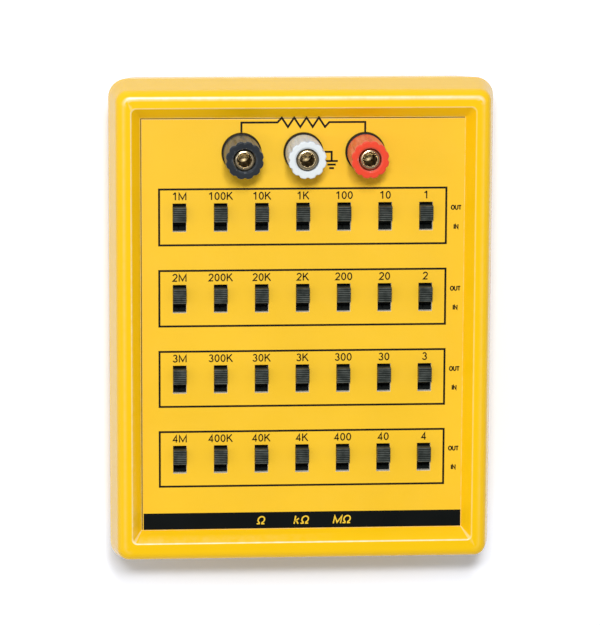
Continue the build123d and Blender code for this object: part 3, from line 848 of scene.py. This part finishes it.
def banded_resistor():
    """Coated resistor body with colour rings, repeated with the rows of the grid."""
    material, tree, shader = new_material("resistor coating")
    pitch = bpy.context.scene.decade_panel.row_pitch
    low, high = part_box("resistors")
    skin = use_group(tree, "Mould grain", Colour=rgba(linear(110, 170, 205)), Grain_scale=1800.0,
                     Shade_drift=0.12, Roughness=0.35, Roughness_drift=0.1)
    along = add(tree, "ShaderNodeSeparateXYZ", [(0, own_place(tree))]).outputs["Y"]
    repeat = calculate(tree, "MODULO", calculate(tree, "SUBTRACT", along, low.y), pitch)
    share = remap(tree, repeat, 0.0, (high.y - low.y) - (ROWS - 1) * pitch)
    rings = add(tree, "ShaderNodeValToRGB", [("Fac", share)])
    rings.color_ramp.interpolation = "CONSTANT"
    stops = rings.color_ramp.elements
    brown, black, ring_width = (70, 40, 22), (20, 20, 20), 0.08
    for start, shade in ((0.12, brown), (0.3, black), (0.48, black), (0.78, brown)):
        stops.new(start).color = rgba(linear(*shade))
        stops.new(start + ring_width).color = (0, 0, 0, 0)
    stops[0].color = (0, 0, 0, 0)
    stops[-1].color = (0, 0, 0, 0)
    coat = blend(tree, rings.outputs["Alpha"], skin["Colour"], rings.outputs["Color"])
    dress(tree, shader, coat, skin["Roughness"], skin["Height"], 0.3)
    return material


def circuit_laminate():
    """Green solder mask with tracks showing through it."""
    material, tree, shader = new_material("circuit laminate")
    skin = use_group(tree, "Mould grain", Colour=rgba(linear(22, 92, 52)), Grain_scale=3200.0,
                     Shade_drift=0.15, Roughness=0.3, Roughness_drift=0.1)
    tracks = add(tree, "ShaderNodeTexBrick",
                 [("Vector", own_place(tree)), ("Scale", 79.0), ("Color1", (0, 0, 0, 1)),
                  ("Color2", (0, 0, 0, 1)), ("Mortar", (1, 1, 1, 1)), ("Mortar Size", 0.05),
                  ("Mortar Smooth", 0.2)]).outputs["Fac"]
    shade = blend(tree, tracks, skin["Colour"], rgba(linear(64, 138, 70)))
    dress(tree, shader, shade, skin["Roughness"], tracks, 0.3, 0.04 * MM)
    return material


# Pieces

def wall_sections(line_x, line_y):
    """Rings of a wall from its two profiles: across and along, as inset, height, corner radius."""
    return [rounded_ring(case_half_x - across[0], case_half_y - along[0],
                         max(SMALLEST_CORNER, across[2]), across[1])
            for across, along in zip(line_x, line_y)]


def panel_holes(panel):
    """Outlines of the levers' slots and the posts' holes."""
    slots = [centred(panel.slot_width, panel.slot_length, x, y)
             for _, _, x, y, _ in slot_centres(panel)]
    return slots + [circle(POST_HOLE, x, y) for x, y in post_places().values()]


def facing(across, along, top, right, left):
    """A sum of shares by how much a normal looks to the top, the right and the left."""
    return top * max(0.0, along) + right * max(0.0, across) + left * max(0.0, -across)


def four_places(x, y):
    """A place in each quarter of the case."""
    return [(side_x * x, side_y * y) for side_x in (-1, 1) for side_y in (-1, 1)]


class DECADE_OT_front_shell(bpy.types.Operator):
    """Builds the front cover: drafted walls, rounded rim, bevel and the sunk floor"""
    bl_idname = "decade.front_shell"
    bl_label = "Front shell"

    def profile(self, case, draft, crest_inset, floor_inset):
        """Closed profile of the rim: inset from the outline, height, corner radius, rounding."""
        wall = case.wall
        under = floor_z - case.floor_thickness
        corner = case.outline_corner
        foot_round = 0.05 * MM
        return filleted([
            (case.seam, joint_z, corner - case.seam, 0),
            (0, joint_z + case.seam, corner, case.seam / 2),
            (draft, crest_z, case.shoulder_corner, case.shoulder_round),
            (crest_inset, crest_z, case.crest_corner, case.crest_round),
            (floor_inset, floor_z, case.floor_corner, foot_round),
            (floor_inset + wall / 2, floor_z, case.floor_corner, 0),
            (floor_inset + wall / 2, under, case.floor_corner, 0),
            (floor_inset - wall, under, case.floor_corner + wall, 0),
            (crest_inset - wall, crest_z - wall, case.crest_corner + wall, 0),
            (draft + wall, crest_z - wall, case.shoulder_corner - wall / 2, 0),
            (wall, joint_z, corner - wall, 0),
        ], 10, closed=True)

    def execute(self, context):
        case = context.scene.decade_case
        panel = context.scene.decade_panel
        across = self.profile(case, case.side_draft, case_half_x - case.crest_width / 2,
                              case_half_x - case.floor_width / 2)
        along = self.profile(case, case.end_draft, case_half_y - case.crest_length / 2,
                             case_half_y - case.floor_length / 2)
        made = bmesh.new()
        loft(made, wall_sections(across, along), closed=True)
        floor = slab("floor", [centred(case.floor_width - case.wall / 2,
                                       case.floor_length - case.wall / 2)],
                     panel_holes(panel), floor_z - case.floor_thickness, floor_z)
        made.from_mesh(floor)
        bpy.data.meshes.remove(floor)
        mesh = solid_mesh("front_shell", made, 24)
        self.paint_highlights(mesh, case)
        # The case yellow's paler edges, from the curvature and from the marks, are painted
        # highlights along the rim, with a little real wear.
        yellow = moulded("case yellow", case.shell, 0.24, grain_scale=1400.0, grain=0.1, drift=0.04,
                         wear_and_highlight=linear(255, 242, 200), wear=0.3, dust=0.004, specular=0.35,
                         marks="painted_highlight")
        piece = place_piece("front_shell", mesh, yellow, "case", ["front_cover"])
        # The slots' walls in the sunk floor take the pale colour of the film's cut edges: a painted
        # highlight, as the moulded yellow has no pale core.
        piece.data.materials.append(moulded("cut edge and highlight", panel.cut_edge_highlight, 0.5, grain=0.1, drift=0.1,
                                            dust=0.02))
        for face in mesh.polygons:
            x, y, z = face.center
            in_floor = abs(x) < case.floor_width / 2 - case.wall and face.normal.z ** 2 < 0.2
            face.material_index = int(in_floor and floor_z - case.floor_thickness < z < floor_z
                                      and abs(y) < case.floor_length / 2 - case.wall)
        return {"FINISHED"}

    def paint_highlights(self, mesh, case):
        """Marks where the rim's rounded edges get a painted highlight, weighted by how far each
        edge looks to the top, the right and the left as though lit from there: most along the inner
        edge, its lower mitres and the top of the outer edge."""
        steep, flat, bent = 0.45, 0.03, 0.06             # parts of a normal of length 1
        inner_tilt, outer_tilt, outer_spread = 48, 8, 11             # degrees
        inner_base, mitre_base, mitre_turn = 0.42, 0.5, 0.5
        marks = mesh.attributes.new("painted_highlight", "FLOAT", "POINT")
        for vertex, mark in zip(mesh.vertices, marks.data):
            x, y, z = vertex.co
            across, along, up = vertex.normal
            level = math.hypot(across, along)
            if z < floor_z or up < steep or level < flat:
                continue
            tilt = math.degrees(math.acos(min(1.0, up)))
            across, along = across / level, along / level
            if (abs(x) < case.crest_width / 2 + case.crest_round
                    and abs(y) < case.crest_length / 2 + case.crest_round):
                if tilt < inner_tilt and level > bent:
                    mark.value = inner_base + facing(across, along, top=0.5, right=0.08, left=-0.2)
                elif along > mitre_turn and abs(across) > mitre_turn:
                    mark.value = mitre_base
            elif z > crest_z - case.shoulder_round:
                share = facing(across, along, top=1.3, right=0.1, left=0.15)
                peak = max(0.0, 1 - abs(tilt - outer_tilt) / outer_spread)
                mark.value = min(1.0, peak * share)


class DECADE_OT_rear_shell(bpy.types.Operator):
    """Builds the rear cover with its screw pockets and foot pockets"""
    bl_idname = "decade.rear_shell"
    bl_label = "Rear shell"

    def execute(self, context):
        case = context.scene.decade_case
        bottom = rear_low.z
        corner = case.outline_corner
        line = filleted([
            (case.wall, joint_z, corner - case.wall, 0),
            (case.seam, joint_z, corner - case.seam, 0),
            (0, joint_z - case.seam, corner, case.seam / 2),
            (case.bottom_draft, bottom, corner, case.bottom_round),
            (case.bottom_draft + 2 * case.bottom_round, bottom, corner - case.bottom_round / 2, 0),
        ])
        made = bmesh.new()
        capped_loft(made, wall_sections(line, line))
        yellow = bpy.data.materials["case yellow"]
        piece = shaped_piece("rear_shell", made, None, yellow, "case",
                             ["rear_cover"])
        cutters = bmesh.new()
        screws = four_places(case_half_x - case.screw_inset_x, case_half_y - case.screw_inset_y)
        feet = four_places(case_half_x - case.foot_inset_x, case_half_y - case.foot_inset_y)
        below = bottom - MM
        for screw, foot in zip(screws, feet):
            for place, radius, top in (
                    (screw, case.screw_pocket, case.screw_seat),
                    (foot, case.foot_pocket, bottom + case.foot_pocket_depth)):
                lathe(cutters, [(0, below), (radius, below), (radius, top), (0, top)], 48, place)
        subtract(piece, cutters)
        soften(piece.data, 24)
        cover(piece.data, yellow)
        return {"FINISHED"}


class DECADE_OT_feet(bpy.types.Operator):
    """Builds the rubber feet and finishes the case screws"""
    bl_idname = "decade.feet"
    bl_label = "Feet and screws"

    def execute(self, context):
        case = context.scene.decade_case
        made = bmesh.new()
        play, sole_round, seat_round = 0.2 * MM, 0.5 * MM, 0.15 * MM
        radius = case.foot_pocket - play
        profile = filleted([(0, 0, 0), (radius - sole_round, 0, sole_round),
                            (radius, foot_high.z, seat_round), (0, foot_high.z, 0)])
        for place in four_places(case_half_x - case.foot_inset_x, case_half_y - case.foot_inset_y):
            lathe(made, profile, place=place)
        rubber = moulded("foot rubber", case.rubber, 0.75, grain_scale=1600.0, grain=0.5, drift=0.2,
                         wear_and_highlight=linear(90, 90, 90), wear=0.3, specular=0.3)
        shaped_piece("feet", made, 30, rubber, "case", ["rubber_feet"])
        zinc = metal("zinc plate", linear(196, 198, 200), linear(120, 110, 90), 0.3, 0.35)
        finish_node("case_screws", zinc)
        finish_node("board_screws", zinc)
        return {"FINISHED"}


class DECADE_OT_overlay(bpy.types.Operator):
    """Builds the overlay plate with its slots and the black band"""
    bl_idname = "decade.overlay"
    bl_label = "Panel overlay"

    def execute(self, context):
        panel = context.scene.decade_panel
        sheet = slab("overlay", [rectangle(overlay_low.x + panel.shift, overlay_low.y,
                                           overlay_high.x, overlay_high.y - panel.shift)],
                     panel_holes(panel), floor_z, face_z, panel.slot_round)
        soften(sheet, 40)
        for face in sheet.polygons:
            face.use_smooth = abs(face.normal.z) < 0.99
        film = moulded("overlay film", panel.yellow, 0.42, grain_scale=3800.0, grain=0.25,
                       drift=0.14, dust=0.012, specular=0.35)
        piece = place_piece("overlay", sheet, film, "case", ["panel_overlay"])
        # The film's cut edges are pale: partly its bare core, mostly a painted highlight.
        piece.data.materials.append(bpy.data.materials["cut edge and highlight"])
        # A dark strip beside the film's left and top edges: a painted shadow line.
        shadow_sheet = bmesh.new()
        ribbon(shadow_sheet, [(overlay_low.x, overlay_low.y), (overlay_low.x, overlay_high.y),
                      (overlay_high.x, overlay_high.y)], 2 * panel.squeeze,
               floor_z, floor_z + panel.shadow_sheet)
        shaped_piece("shadow_line", shadow_sheet, None, ink_material("shadow_line", panel.shadow_line, 0.7), "case")
        for face in piece.data.polygons:
            face.material_index = int(abs(face.normal.z) < 0.9)
        band = slab("band", [rectangle(overlay_low.x + panel.band_inset, overlay_low.y,
                                       overlay_high.x, overlay_low.y + panel.band_height)],
                    [], face_z, face_z + 2 * panel.ink_height)
        gloss = ink_material("band ink", panel.band, 0.3)
        place_piece("black_band", band, gloss, "case")
        return {"FINISHED"}


class DECADE_OT_printing(bpy.types.Operator):
    """Prints the frames, the values, the words and the two circuit signs on the overlay"""
    bl_idname = "decade.printing"
    bl_label = "Printing"

    def execute(self, context):
        panel = context.scene.decade_panel
        ink = ink_material("panel ink", panel.ink)
        low, high = face_z, face_z + panel.ink_height
        made = bmesh.new()
        places = slot_centres(panel)
        middle_x = sum(place[2] for place in places) / len(places)
        for row in range(ROWS):
            y = places[row * len(DECADES)][3]
            frame_line = rectangle(middle_x - panel.frame_half_width, y - panel.frame_below,
                                   middle_x + panel.frame_half_width, y + panel.frame_above)
            ribbon(made, frame_line + frame_line[:1], panel.line_width, low, high)
            for word, side in (("OUT", 1), ("IN", -1)):
                lettering(made, word, (middle_x + panel.word_offset,
                                       y + side * panel.word_gap - panel.word_drop),
                          panel.word_height, panel.word_line, low, high, stretch=panel.word_stretch)
        for row, column, x, y, _ in places:
            lettering(made, f"{row + 1}{LABEL_TAILS[column]}", (x, y + panel.label_rise),
                      panel.label_height, panel.label_line, low, high)
        self.resistor_sign(made, panel, low, high)
        self.ground_sign(made, panel, low, high)
        shaped_piece("printing", made, None, ink, "case")
        units = bmesh.new()
        low, high = high + panel.ink_height, high + 2 * panel.ink_height
        for words, share in (("\u03a9", -1), ("k\u03a9", 0), ("M\u03a9", 1)):
            place = (share * panel.column_pitch, overlay_low.y + panel.band_height / 2)
            lettering(units, words, place, panel.unit_height, panel.unit_line, low, high, slant=0.2)
        shaped_piece("band_lettering", units, None,
                     ink_material("band lettering", panel.band_word, 0.5), "case")
        return {"FINISHED"}

    def resistor_sign(self, made, panel, low, high):
        """Resistor sign that joins the black and the red post."""
        posts = post_places()
        left_x, post_y = posts["black"]
        right_x = posts["red"][0]
        middle_x = (left_x + right_x) / 2
        line_y = post_y + panel.sign_height
        post_end = post_y + bpy.context.scene.decade_posts.washer
        count = 8
        peaks = [(middle_x + panel.sign_half_wave * (step - (count - 1) / 2),
                  line_y + panel.sign_wave * (-1) ** step) for step in range(count)]
        reach = panel.sign_half_wave * (count / 2 + 0.2)
        points = [(left_x, post_end), (left_x, line_y), (middle_x - reach, line_y)] + peaks
        points += [(middle_x + reach, line_y), (right_x, line_y), (right_x, post_end)]
        ribbon(made, points, panel.line_width, low, high)

    def ground_sign(self, made, panel, low, high):
        """Ground sign beside the white post."""
        x, y = post_places()["white"]
        washer = bpy.context.scene.decade_posts.washer
        drop_x = x + panel.ground_drop
        drop = 2.6                                       # length of the stem, in steps
        top_bar = y - panel.ground_step * drop
        ribbon(made, [(x + washer, y), (drop_x, y), (drop_x, top_bar)], panel.line_width, low, high)
        for number, half in enumerate((1.9 * MM, 1.3 * MM, 0.75 * MM)):
            bar_y = top_bar - number * panel.ground_step
            ribbon(made, [(drop_x - half, bar_y), (drop_x + half, bar_y)], panel.line_width,
                   low, high)


class DECADE_OT_levers(bpy.types.Operator):
    """Builds the ribbed slide levers"""
    bl_idname = "decade.levers"
    bl_label = "Slide levers"

    def execute(self, context):
        levers = context.scene.decade_levers
        low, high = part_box("lever_1m")
        carriage_top = low.z + levers.carriage
        grip_foot = face_z + levers.grip_foot
        pitch = levers.grip_length / levers.rib_count
        back = (levers.grip_length - levers.length) / 2
        edge = 0.1 * MM
        rib_points, rib_fullness = (0.16, 0.32, 0.5, 0.68, 0.84), 0.6
        outline = [(-levers.grip_length / 2, grip_foot)]
        for rib in range(levers.rib_count):
            start = -levers.grip_length / 2 + rib * pitch
            outline.append((start, high.z - levers.rib_depth))
            for share in rib_points:
                rise = math.sin(math.pi * share) ** rib_fullness
                outline.append((start + pitch * share, high.z - levers.rib_depth * (1 - rise)))
        outline.append((levers.grip_length / 2, high.z - levers.rib_depth))
        outline.append((levers.grip_length / 2, grip_foot))
        # The lever nylon's paler rib crests are painted glints, with a little real wear.
        nylon = moulded("lever nylon", levers.nylon, 0.4, grain_scale=3000.0, grain=0.3, drift=0.3,
                        wear_and_highlight=linear(170, 177, 170), wear=0.85, dust=0.01, wear_start=0.54,
                        wear_end=0.7, specular=0.12)
        # The carriage's nylon is a darker copy of the lever's: painted shade for the carriage down
        # in its slot.
        shaded = moulded("carriage nylon painted dark", levers.slide, 0.55, grain_scale=3000.0, grain=0.2,
                         drift=0.2, dust=0.004, specular=0.12)
        for _, _, x, y, name in slot_centres(context.scene.decade_panel):
            node_low, node_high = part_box(name)
            middle = (node_low + node_high) / 2
            half = (node_high - node_low) / 2
            grip = bmesh.new()
            capped_loft(grip, [[Vector((middle.x + side * levers.grip_width / 2,
                                        middle.y + back + along, up)) for along, up in outline]
                               for side in (-1, 1)])
            carriage = bmesh.new()
            for half_x, half_y, bottom, top in (
                    (half.x, half.y, low.z, carriage_top),
                    (levers.width / 2, levers.length / 2 - edge, carriage_top - 2 * edge,
                     grip_foot + edge)):
                capped_loft(carriage, [[Vector((x, y, height)) for x, y in centred(
                    2 * half_x, 2 * half_y, middle.x, middle.y)] for height in (bottom, top)])
            for part, made, material in (("_grip", grip, nylon), ("_carriage", carriage, shaded)):
                round_edges(shaped_piece(name + part, made, 50, material, name,
                                         [name]), edge)
        return {"FINISHED"}


class DECADE_OT_posts(bpy.types.Operator):
    """Builds the binding posts: studs with their threads, washers and fluted caps"""
    bl_idname = "decade.posts"
    bl_label = "Binding posts"

    def execute(self, context):
        posts = context.scene.decade_posts
        nickel = metal("nickel plate", posts.nickel, linear(150, 122, 84), 0.16, 0.35)
        metal("socket metal", posts.socket_metal, linear(84, 70, 44), 0.3, 0.6)
        insulator = moulded("insulator black", posts.insulator, 0.5, grain=0.2, drift=0.2,
                            wear_and_highlight=linear(60, 60, 60), wear=0.2, dust=0.005, specular=0.25)
        washers = bmesh.new()
        bore, neck, depth = 2.5 * MM, 3.9 * MM, 2.2 * MM
        foot_round, top_round = 0.1 * MM, 0.4 * MM
        top = face_z + posts.washer_height
        profile = [(bore, face_z - depth, 0), (neck, face_z - depth, 0), (neck, face_z, 0),
                   (posts.washer, face_z, foot_round), (posts.washer, top, top_round),
                   (bore, top, 0)]
        for name, place in post_places().items():
            lathe(washers, filleted(profile, closed=True), 72, place)
            self.stud(posts, name, place, nickel)
            self.cap(posts, name, place)
            finish_node(f"{name}_post_insert", nickel)
        shaped_piece("front_washers", washers, 30, insulator, "case",
                     ["post_front_washers"])
        finish_node("post_rear_washers", insulator)
        finish_node("post_nuts", nickel)
        return {"FINISHED"}

    def stud(self, posts, name, place, material):
        """A turned stud with a rolled thread, a socket and a wire hole."""
        steps = 10                                       # points in a turn of the thread
        run_in, run_out = 0.3 * MM, 0.2 * MM             # plain neck below and above it
        tail_bevel, seat_bevel, collar_bevel = 0.4 * MM, 0.1 * MM, 0.12 * MM
        lip, lip_out, lip_in, neck = 0.04 * MM, 0.06 * MM, 0.05 * MM, 0.1 * MM
        cone = 0.8 * MM                                  # drilled end of the socket
        crest_share = 1.15                               # flat crests from a ridge above 1 / 1.15
        chamfer, top = posts.socket_chamfer, posts.stud_top
        thread_low = posts.collar_top + run_in
        thread_high = top - chamfer - run_out
        count = round((thread_high - thread_low) / posts.thread_pitch * steps)
        line = [(0, -posts.tail_length), (posts.tail - tail_bevel, -posts.tail_length),
                (posts.tail, tail_bevel - posts.tail_length), (posts.tail, posts.collar_bottom),
                (posts.collar - seat_bevel, posts.collar_bottom),
                (posts.collar, posts.collar_bottom + seat_bevel),
                (posts.collar, posts.collar_top - collar_bevel),
                (posts.collar - collar_bevel, posts.collar_top),
                (posts.stud - posts.thread_depth, posts.collar_top)]
        line += [(posts.stud, thread_low + (thread_high - thread_low) * step / count, THREAD)
                 for step in range(count + 1)]
        line += [(posts.stud - neck, top - chamfer), (posts.stud - chamfer, top - lip),
                 (posts.stud - chamfer - lip_out, top),
                 (posts.socket + chamfer + lip_in, top), (posts.socket + chamfer, top - lip),
                 (posts.socket, top - chamfer, FACET), (posts.socket, top - 1.6 * chamfer),
                 (posts.socket, top - posts.socket_depth + cone), (0, top - posts.socket_depth)]
        profile = [(point[0], point[1] + face_z, *point[2:]) for point in line]

        def threaded(angle, point):
            if len(point) < 3:
                return point[0]
            if point[2] == FACET:
                return point[0] / math.cos(angle % (math.pi / 4) - math.pi / 8)
            height = point[1] - face_z
            phase = (height / posts.thread_pitch - angle / (2 * math.pi)) % 1.0
            ridge = 1 - abs(2 * phase - 1)
            fade = min(1.0, (height - thread_low) / posts.thread_pitch,
                       (thread_high - height) / posts.thread_pitch)
            groove = max(0.0, 1 - ridge * crest_share)
            return point[0] - posts.thread_depth * groove * max(0.0, fade)

        made = bmesh.new()
        lathe(made, profile, 48, place, threaded)
        piece = shaped_piece(f"{name}_stud", made, None, material, "case",
                             [f"{name}_post_stud"])
        drill = bmesh.new()
        lathe(drill, [(0, -2 * posts.collar), (posts.wire_hole, -2 * posts.collar),
                      (posts.wire_hole, 2 * posts.collar), (0, 2 * posts.collar)], 32)
        bmesh.ops.transform(drill, verts=drill.verts,
                            matrix=Matrix.Translation((*place, face_z + posts.wire_hole_height))
                            @ Matrix.Rotation(math.radians(90), 4, "Y"))
        subtract(piece, drill)
        soften(piece.data, 35)
        cover(piece.data, material, bpy.data.materials["socket metal"])
        bore = posts.socket + lip_in
        for face in piece.data.polygons:
            middle = face.center - Vector((*place, face_z))
            face.material_index = int(math.hypot(middle.x, middle.y) < bore
                                      and middle.z > posts.wire_hole_height)

    def cap(self, posts, name, place):
        """A fluted cap whose flutes run out towards a smooth skirt."""
        insert_top = posts.insert_bottom + posts.insert_height
        flange_rise, flange_height = 3.0 * MM, 2.06 * MM
        foot_round, top_round = 0.2 * MM, 0.45 * MM
        bevel, bevel_round = 0.5 * MM, 0.12 * MM         # at the mouth of the cap's bore
        flat_margin, flute_share = 0.9 * MM, 0.26        # edge of the end face; half a flute
        levels = 24
        flange_low = posts.insert_bottom + flange_rise
        flange_high = flange_low + flange_height
        rise = posts.cap_top - posts.cap_foot
        corners = [(posts.skirt_bore, posts.cap_foot, 0), (posts.cap, posts.cap_foot, foot_round)]
        corners += [(posts.cap, posts.cap_foot + rise * level / levels, 0)
                    for level in range(2, levels - 1)]
        corners += [(posts.cap, posts.cap_top, top_round),
                    (posts.cap_bore + bevel, posts.cap_top, bevel_round),
                    (posts.cap_bore, posts.cap_top - bevel, 0),
                    (posts.cap_bore, insert_top, 0), (posts.insert, insert_top, 0),
                    (posts.insert, flange_high, 0), (posts.insert_flange, flange_high, 0),
                    (posts.insert_flange, flange_low, 0), (posts.insert, flange_low, 0),
                    (posts.insert, posts.insert_bottom, 0),
                    (posts.skirt_bore, posts.insert_bottom, 0)]
        profile = [(point[0], point[1] + face_z) for point in filleted(corners, 5, closed=True)]
        face_reach = posts.cap - flat_margin

        def fluted(angle, point):
            height = point[1] - face_z
            if point[0] < face_reach:
                return point[0]
            outward = min(1.0, (point[0] - face_reach) / top_round)
            run = (height - posts.flute_start) / (posts.flute_full - posts.flute_start)
            run = max(0.0, min(1.0, run))
            run = run * run * (3 - 2 * run)
            phase = (angle * posts.flutes / (2 * math.pi)) % 1.0
            hollow = max(0.0, 1 - (min(phase, 1 - phase) / flute_share) ** 1.5)
            return point[0] - (posts.flute_depth * hollow * run + posts.taper * (1 - run)) * outward

        made = bmesh.new()
        lathe(made, profile, posts.flutes * 12, place, fluted)
        # Pointiness joins close vertices with the same x + y + z, so the mesh is a third of a step
        # off the diagonals.
        third = Matrix.Rotation(math.tau / (posts.flutes * 36), 3, "Z")
        bmesh.ops.rotate(made, verts=made.verts, cent=(*place, 0), matrix=third)
        shade = getattr(posts, name)
        pale = tuple(value + (1 - value) * 0.35 for value in shade)
        # The caps' upright sides take their side colour: partly dulling by handling, partly a
        # painted sheen.
        plastic = moulded(f"{name} cap plastic", shade, 0.34, grain_scale=2200.0, grain=0.25,
                          drift=0.12, wear_and_highlight=pale, wear=0.5, dust=0.01,
                          side_colour=getattr(posts, name + "_side"), specular=0.12)
        shaped_piece(f"{name}_cap", made, 32, plastic, f"{name}_cap",
                     [f"{name}_post_cap"])


class DECADE_OT_inner_parts(bpy.types.Operator):
    """Finishes the parts inside the case: board, switches, resistors, lugs and leads"""
    bl_idname = "decade.inner_parts"
    bl_label = "Inner parts"

    def execute(self, context):
        levers = context.scene.decade_levers
        finish_node("circuit_board", circuit_laminate())
        finish_node("resistors", banded_resistor())
        finish_node("switch_bases", moulded("switch base plastic", levers.dark, 0.6, drift=0.2,
                                            dust=0.0, specular=0.15))
        finish_node("switch_frames", metal("tinned steel", linear(200, 200, 196),
                                           linear(130, 122, 104), 0.28, 0.3))
        tin = metal("tinned copper", linear(205, 203, 196), linear(150, 128, 96), 0.25, 0.3)
        for name in ("resistor_leads", "solder_lugs"):
            finish_node(name, tin)
        # The terminals are painted nearly black: painted shade for the bottom of the slots, where
        # they show.
        contact = metal("contact painted dark", linear(34, 33, 30), linear(20, 18, 14), 0.6, 0.5)
        finish_node("switch_terminals", contact)
        for name, shade in zip(COLOURS, ((20, 20, 20), (225, 225, 222), (190, 30, 24))):
            finish_node(f"{name}_lead", moulded(f"{name} insulation", linear(*shade), 0.45,
                                                grain=0.3, drift=0.15, dust=0.0))
        return {"FINISHED"}


class DECADE_OT_stage(bpy.types.Operator):
    """Sets the floor, the soft lamps, the surroundings and the camera"""
    bl_idname = "decade.stage"
    bl_label = "Stage"

    def execute(self, context):
        stage = context.scene.decade_stage
        scene = context.scene
        scene.view_settings.view_transform = "Standard"
        self.floor(stage)
        for lamp in LAMPS:
            self.lamp(*lamp)
        self.surroundings(scene)
        self.camera(stage, scene)
        return {"FINISHED"}

    def floor(self, stage):
        """A plain pale floor that looks lighter to the camera than its light on the object is."""
        made = bmesh.new()
        bmesh.ops.create_grid(made, x_segments=1, y_segments=1, size=3.0)
        mesh = bpy.data.meshes.new("floor")
        made.to_mesh(mesh)
        made.free()
        floor = new_object("floor", mesh)
        material, tree, shader = new_material("floor paper")
        shader.inputs["Base Color"].default_value = rgba(stage.floor)
        shader.inputs["Roughness"].default_value = 0.9
        shader.inputs["Specular IOR Level"].default_value = 0.0
        path = add(tree, "ShaderNodeLightPath").outputs
        seen = calculate(tree, "ADD", path["Is Camera Ray"], path["Is Glossy Ray"])
        seen = calculate(tree, "ADD", seen, path["Is Transmission Ray"], clamp=True)
        lift = add(tree, "ShaderNodeBsdfDiffuse", [("Color", rgba(stage.lift))])
        brighter = add(tree, "ShaderNodeAddShader", [(0, shader.outputs[0]), (1, lift.outputs[0])])
        choose = add(tree, "ShaderNodeMixShader", [(0, seen), (1, shader.outputs[0]),
                                                   (2, brighter.outputs[0])])
        tree.links.new(choose.outputs[0], tree.nodes["Material Output"].inputs["Surface"])
        mesh.materials.append(material)

    def lamp(self, name, place, size, power):
        """A soft lamp that faces the middle of the table."""
        data = bpy.data.lights.new(name, "AREA")
        data.shape = "RECTANGLE"
        data.size, data.size_y = size
        data.energy = power
        lamp = new_object(name, data)
        lamp.location = place
        lamp.rotation_euler = Vector(place).to_track_quat("Z", "Y").to_euler()

    def surroundings(self, scene):
        """A white room, brightest at its left and darker straight above the table."""
        world = bpy.data.worlds.new("studio")
        scene.world = world
        world.use_nodes = True
        tree = world.node_tree
        ground = tree.nodes["Background"]
        ground.inputs["Color"].default_value = (1, 1, 1, 1)
        place = add(tree, "ShaderNodeTexCoord").outputs["Generated"]
        up = add(tree, "ShaderNodeSeparateXYZ", [(0, place)]).outputs["Z"]
        window = add(tree, "ShaderNodeVectorMath", [(0, place), (1, (-0.6, 0.3, 0.0))],
                     operation="DOT_PRODUCT").outputs["Value"]
        height = remap(tree, up, 0.2, 0.97, 1.0, 0.15)
        side = remap(tree, window, -1.0, 1.0, 0.5, 1.05)
        strength = calculate(tree, "MULTIPLY", height, side)
        tree.links.new(strength, ground.inputs["Strength"])

    def camera(self, stage, scene):
        """The fitted camera of the picture."""
        image_height = 625
        data = bpy.data.cameras.new("camera")
        data.sensor_width = 36.0
        data.lens = data.sensor_width * stage.focal_pixels / image_height
        data.clip_start = 0.05
        data.clip_end = 10.0
        camera = new_object("camera", data)
        place = Vector((stage.camera_x, stage.camera_y, stage.camera_z))
        target = Vector((stage.target_x, stage.target_y, face_z))
        back = (place - target).normalized()
        right = Vector((0, 1, 0)).cross(back).normalized()
        up = back.cross(right)
        turned = Matrix((right, up, back)).transposed().to_4x4()
        camera.matrix_world = (Matrix.Translation(place) @ turned
                               @ Matrix.Rotation(stage.roll, 4, "Z"))
        scene.camera = camera


PIECES = (DECADE_OT_front_shell, DECADE_OT_rear_shell, DECADE_OT_feet, DECADE_OT_overlay,
          DECADE_OT_printing, DECADE_OT_levers, DECADE_OT_posts, DECADE_OT_inner_parts,
          DECADE_OT_stage)


class DECADE_PT_panel(bpy.types.Panel):
    """Lists the sizes, the colours and the steps of the decade box"""
    bl_idname = "DECADE_PT_panel"
    bl_label = "Decade box"
    bl_space_type = "VIEW_3D"
    bl_region_type = "UI"
    bl_category = "Decade box"

    def draw(self, context):
        for operator in PIECES:
            self.layout.operator(operator.bl_idname)
        for name, settings in SETTINGS:
            box = self.layout.box()
            box.label(text=settings.__doc__)
            for prop in settings.__annotations__:
                box.prop(getattr(context.scene, name), prop)


def register():
    for name, settings in SETTINGS:
        bpy.utils.register_class(settings)
        setattr(bpy.types.Scene, name, PointerProperty(type=settings))
    for made in (*PIECES, DECADE_PT_panel):
        bpy.utils.register_class(made)


def unregister():
    for made in reversed((*PIECES, DECADE_PT_panel)):
        bpy.utils.unregister_class(made)
    for name, settings in reversed(SETTINGS):
        delattr(bpy.types.Scene, name)
        bpy.utils.unregister_class(settings)


def main():
    register()
    for build in GROUPS:
        build()
    for operator in PIECES:
        family, name = operator.bl_idname.split(".")
        getattr(getattr(bpy.ops, family), name)()


if __name__ == "__main__":
    main()
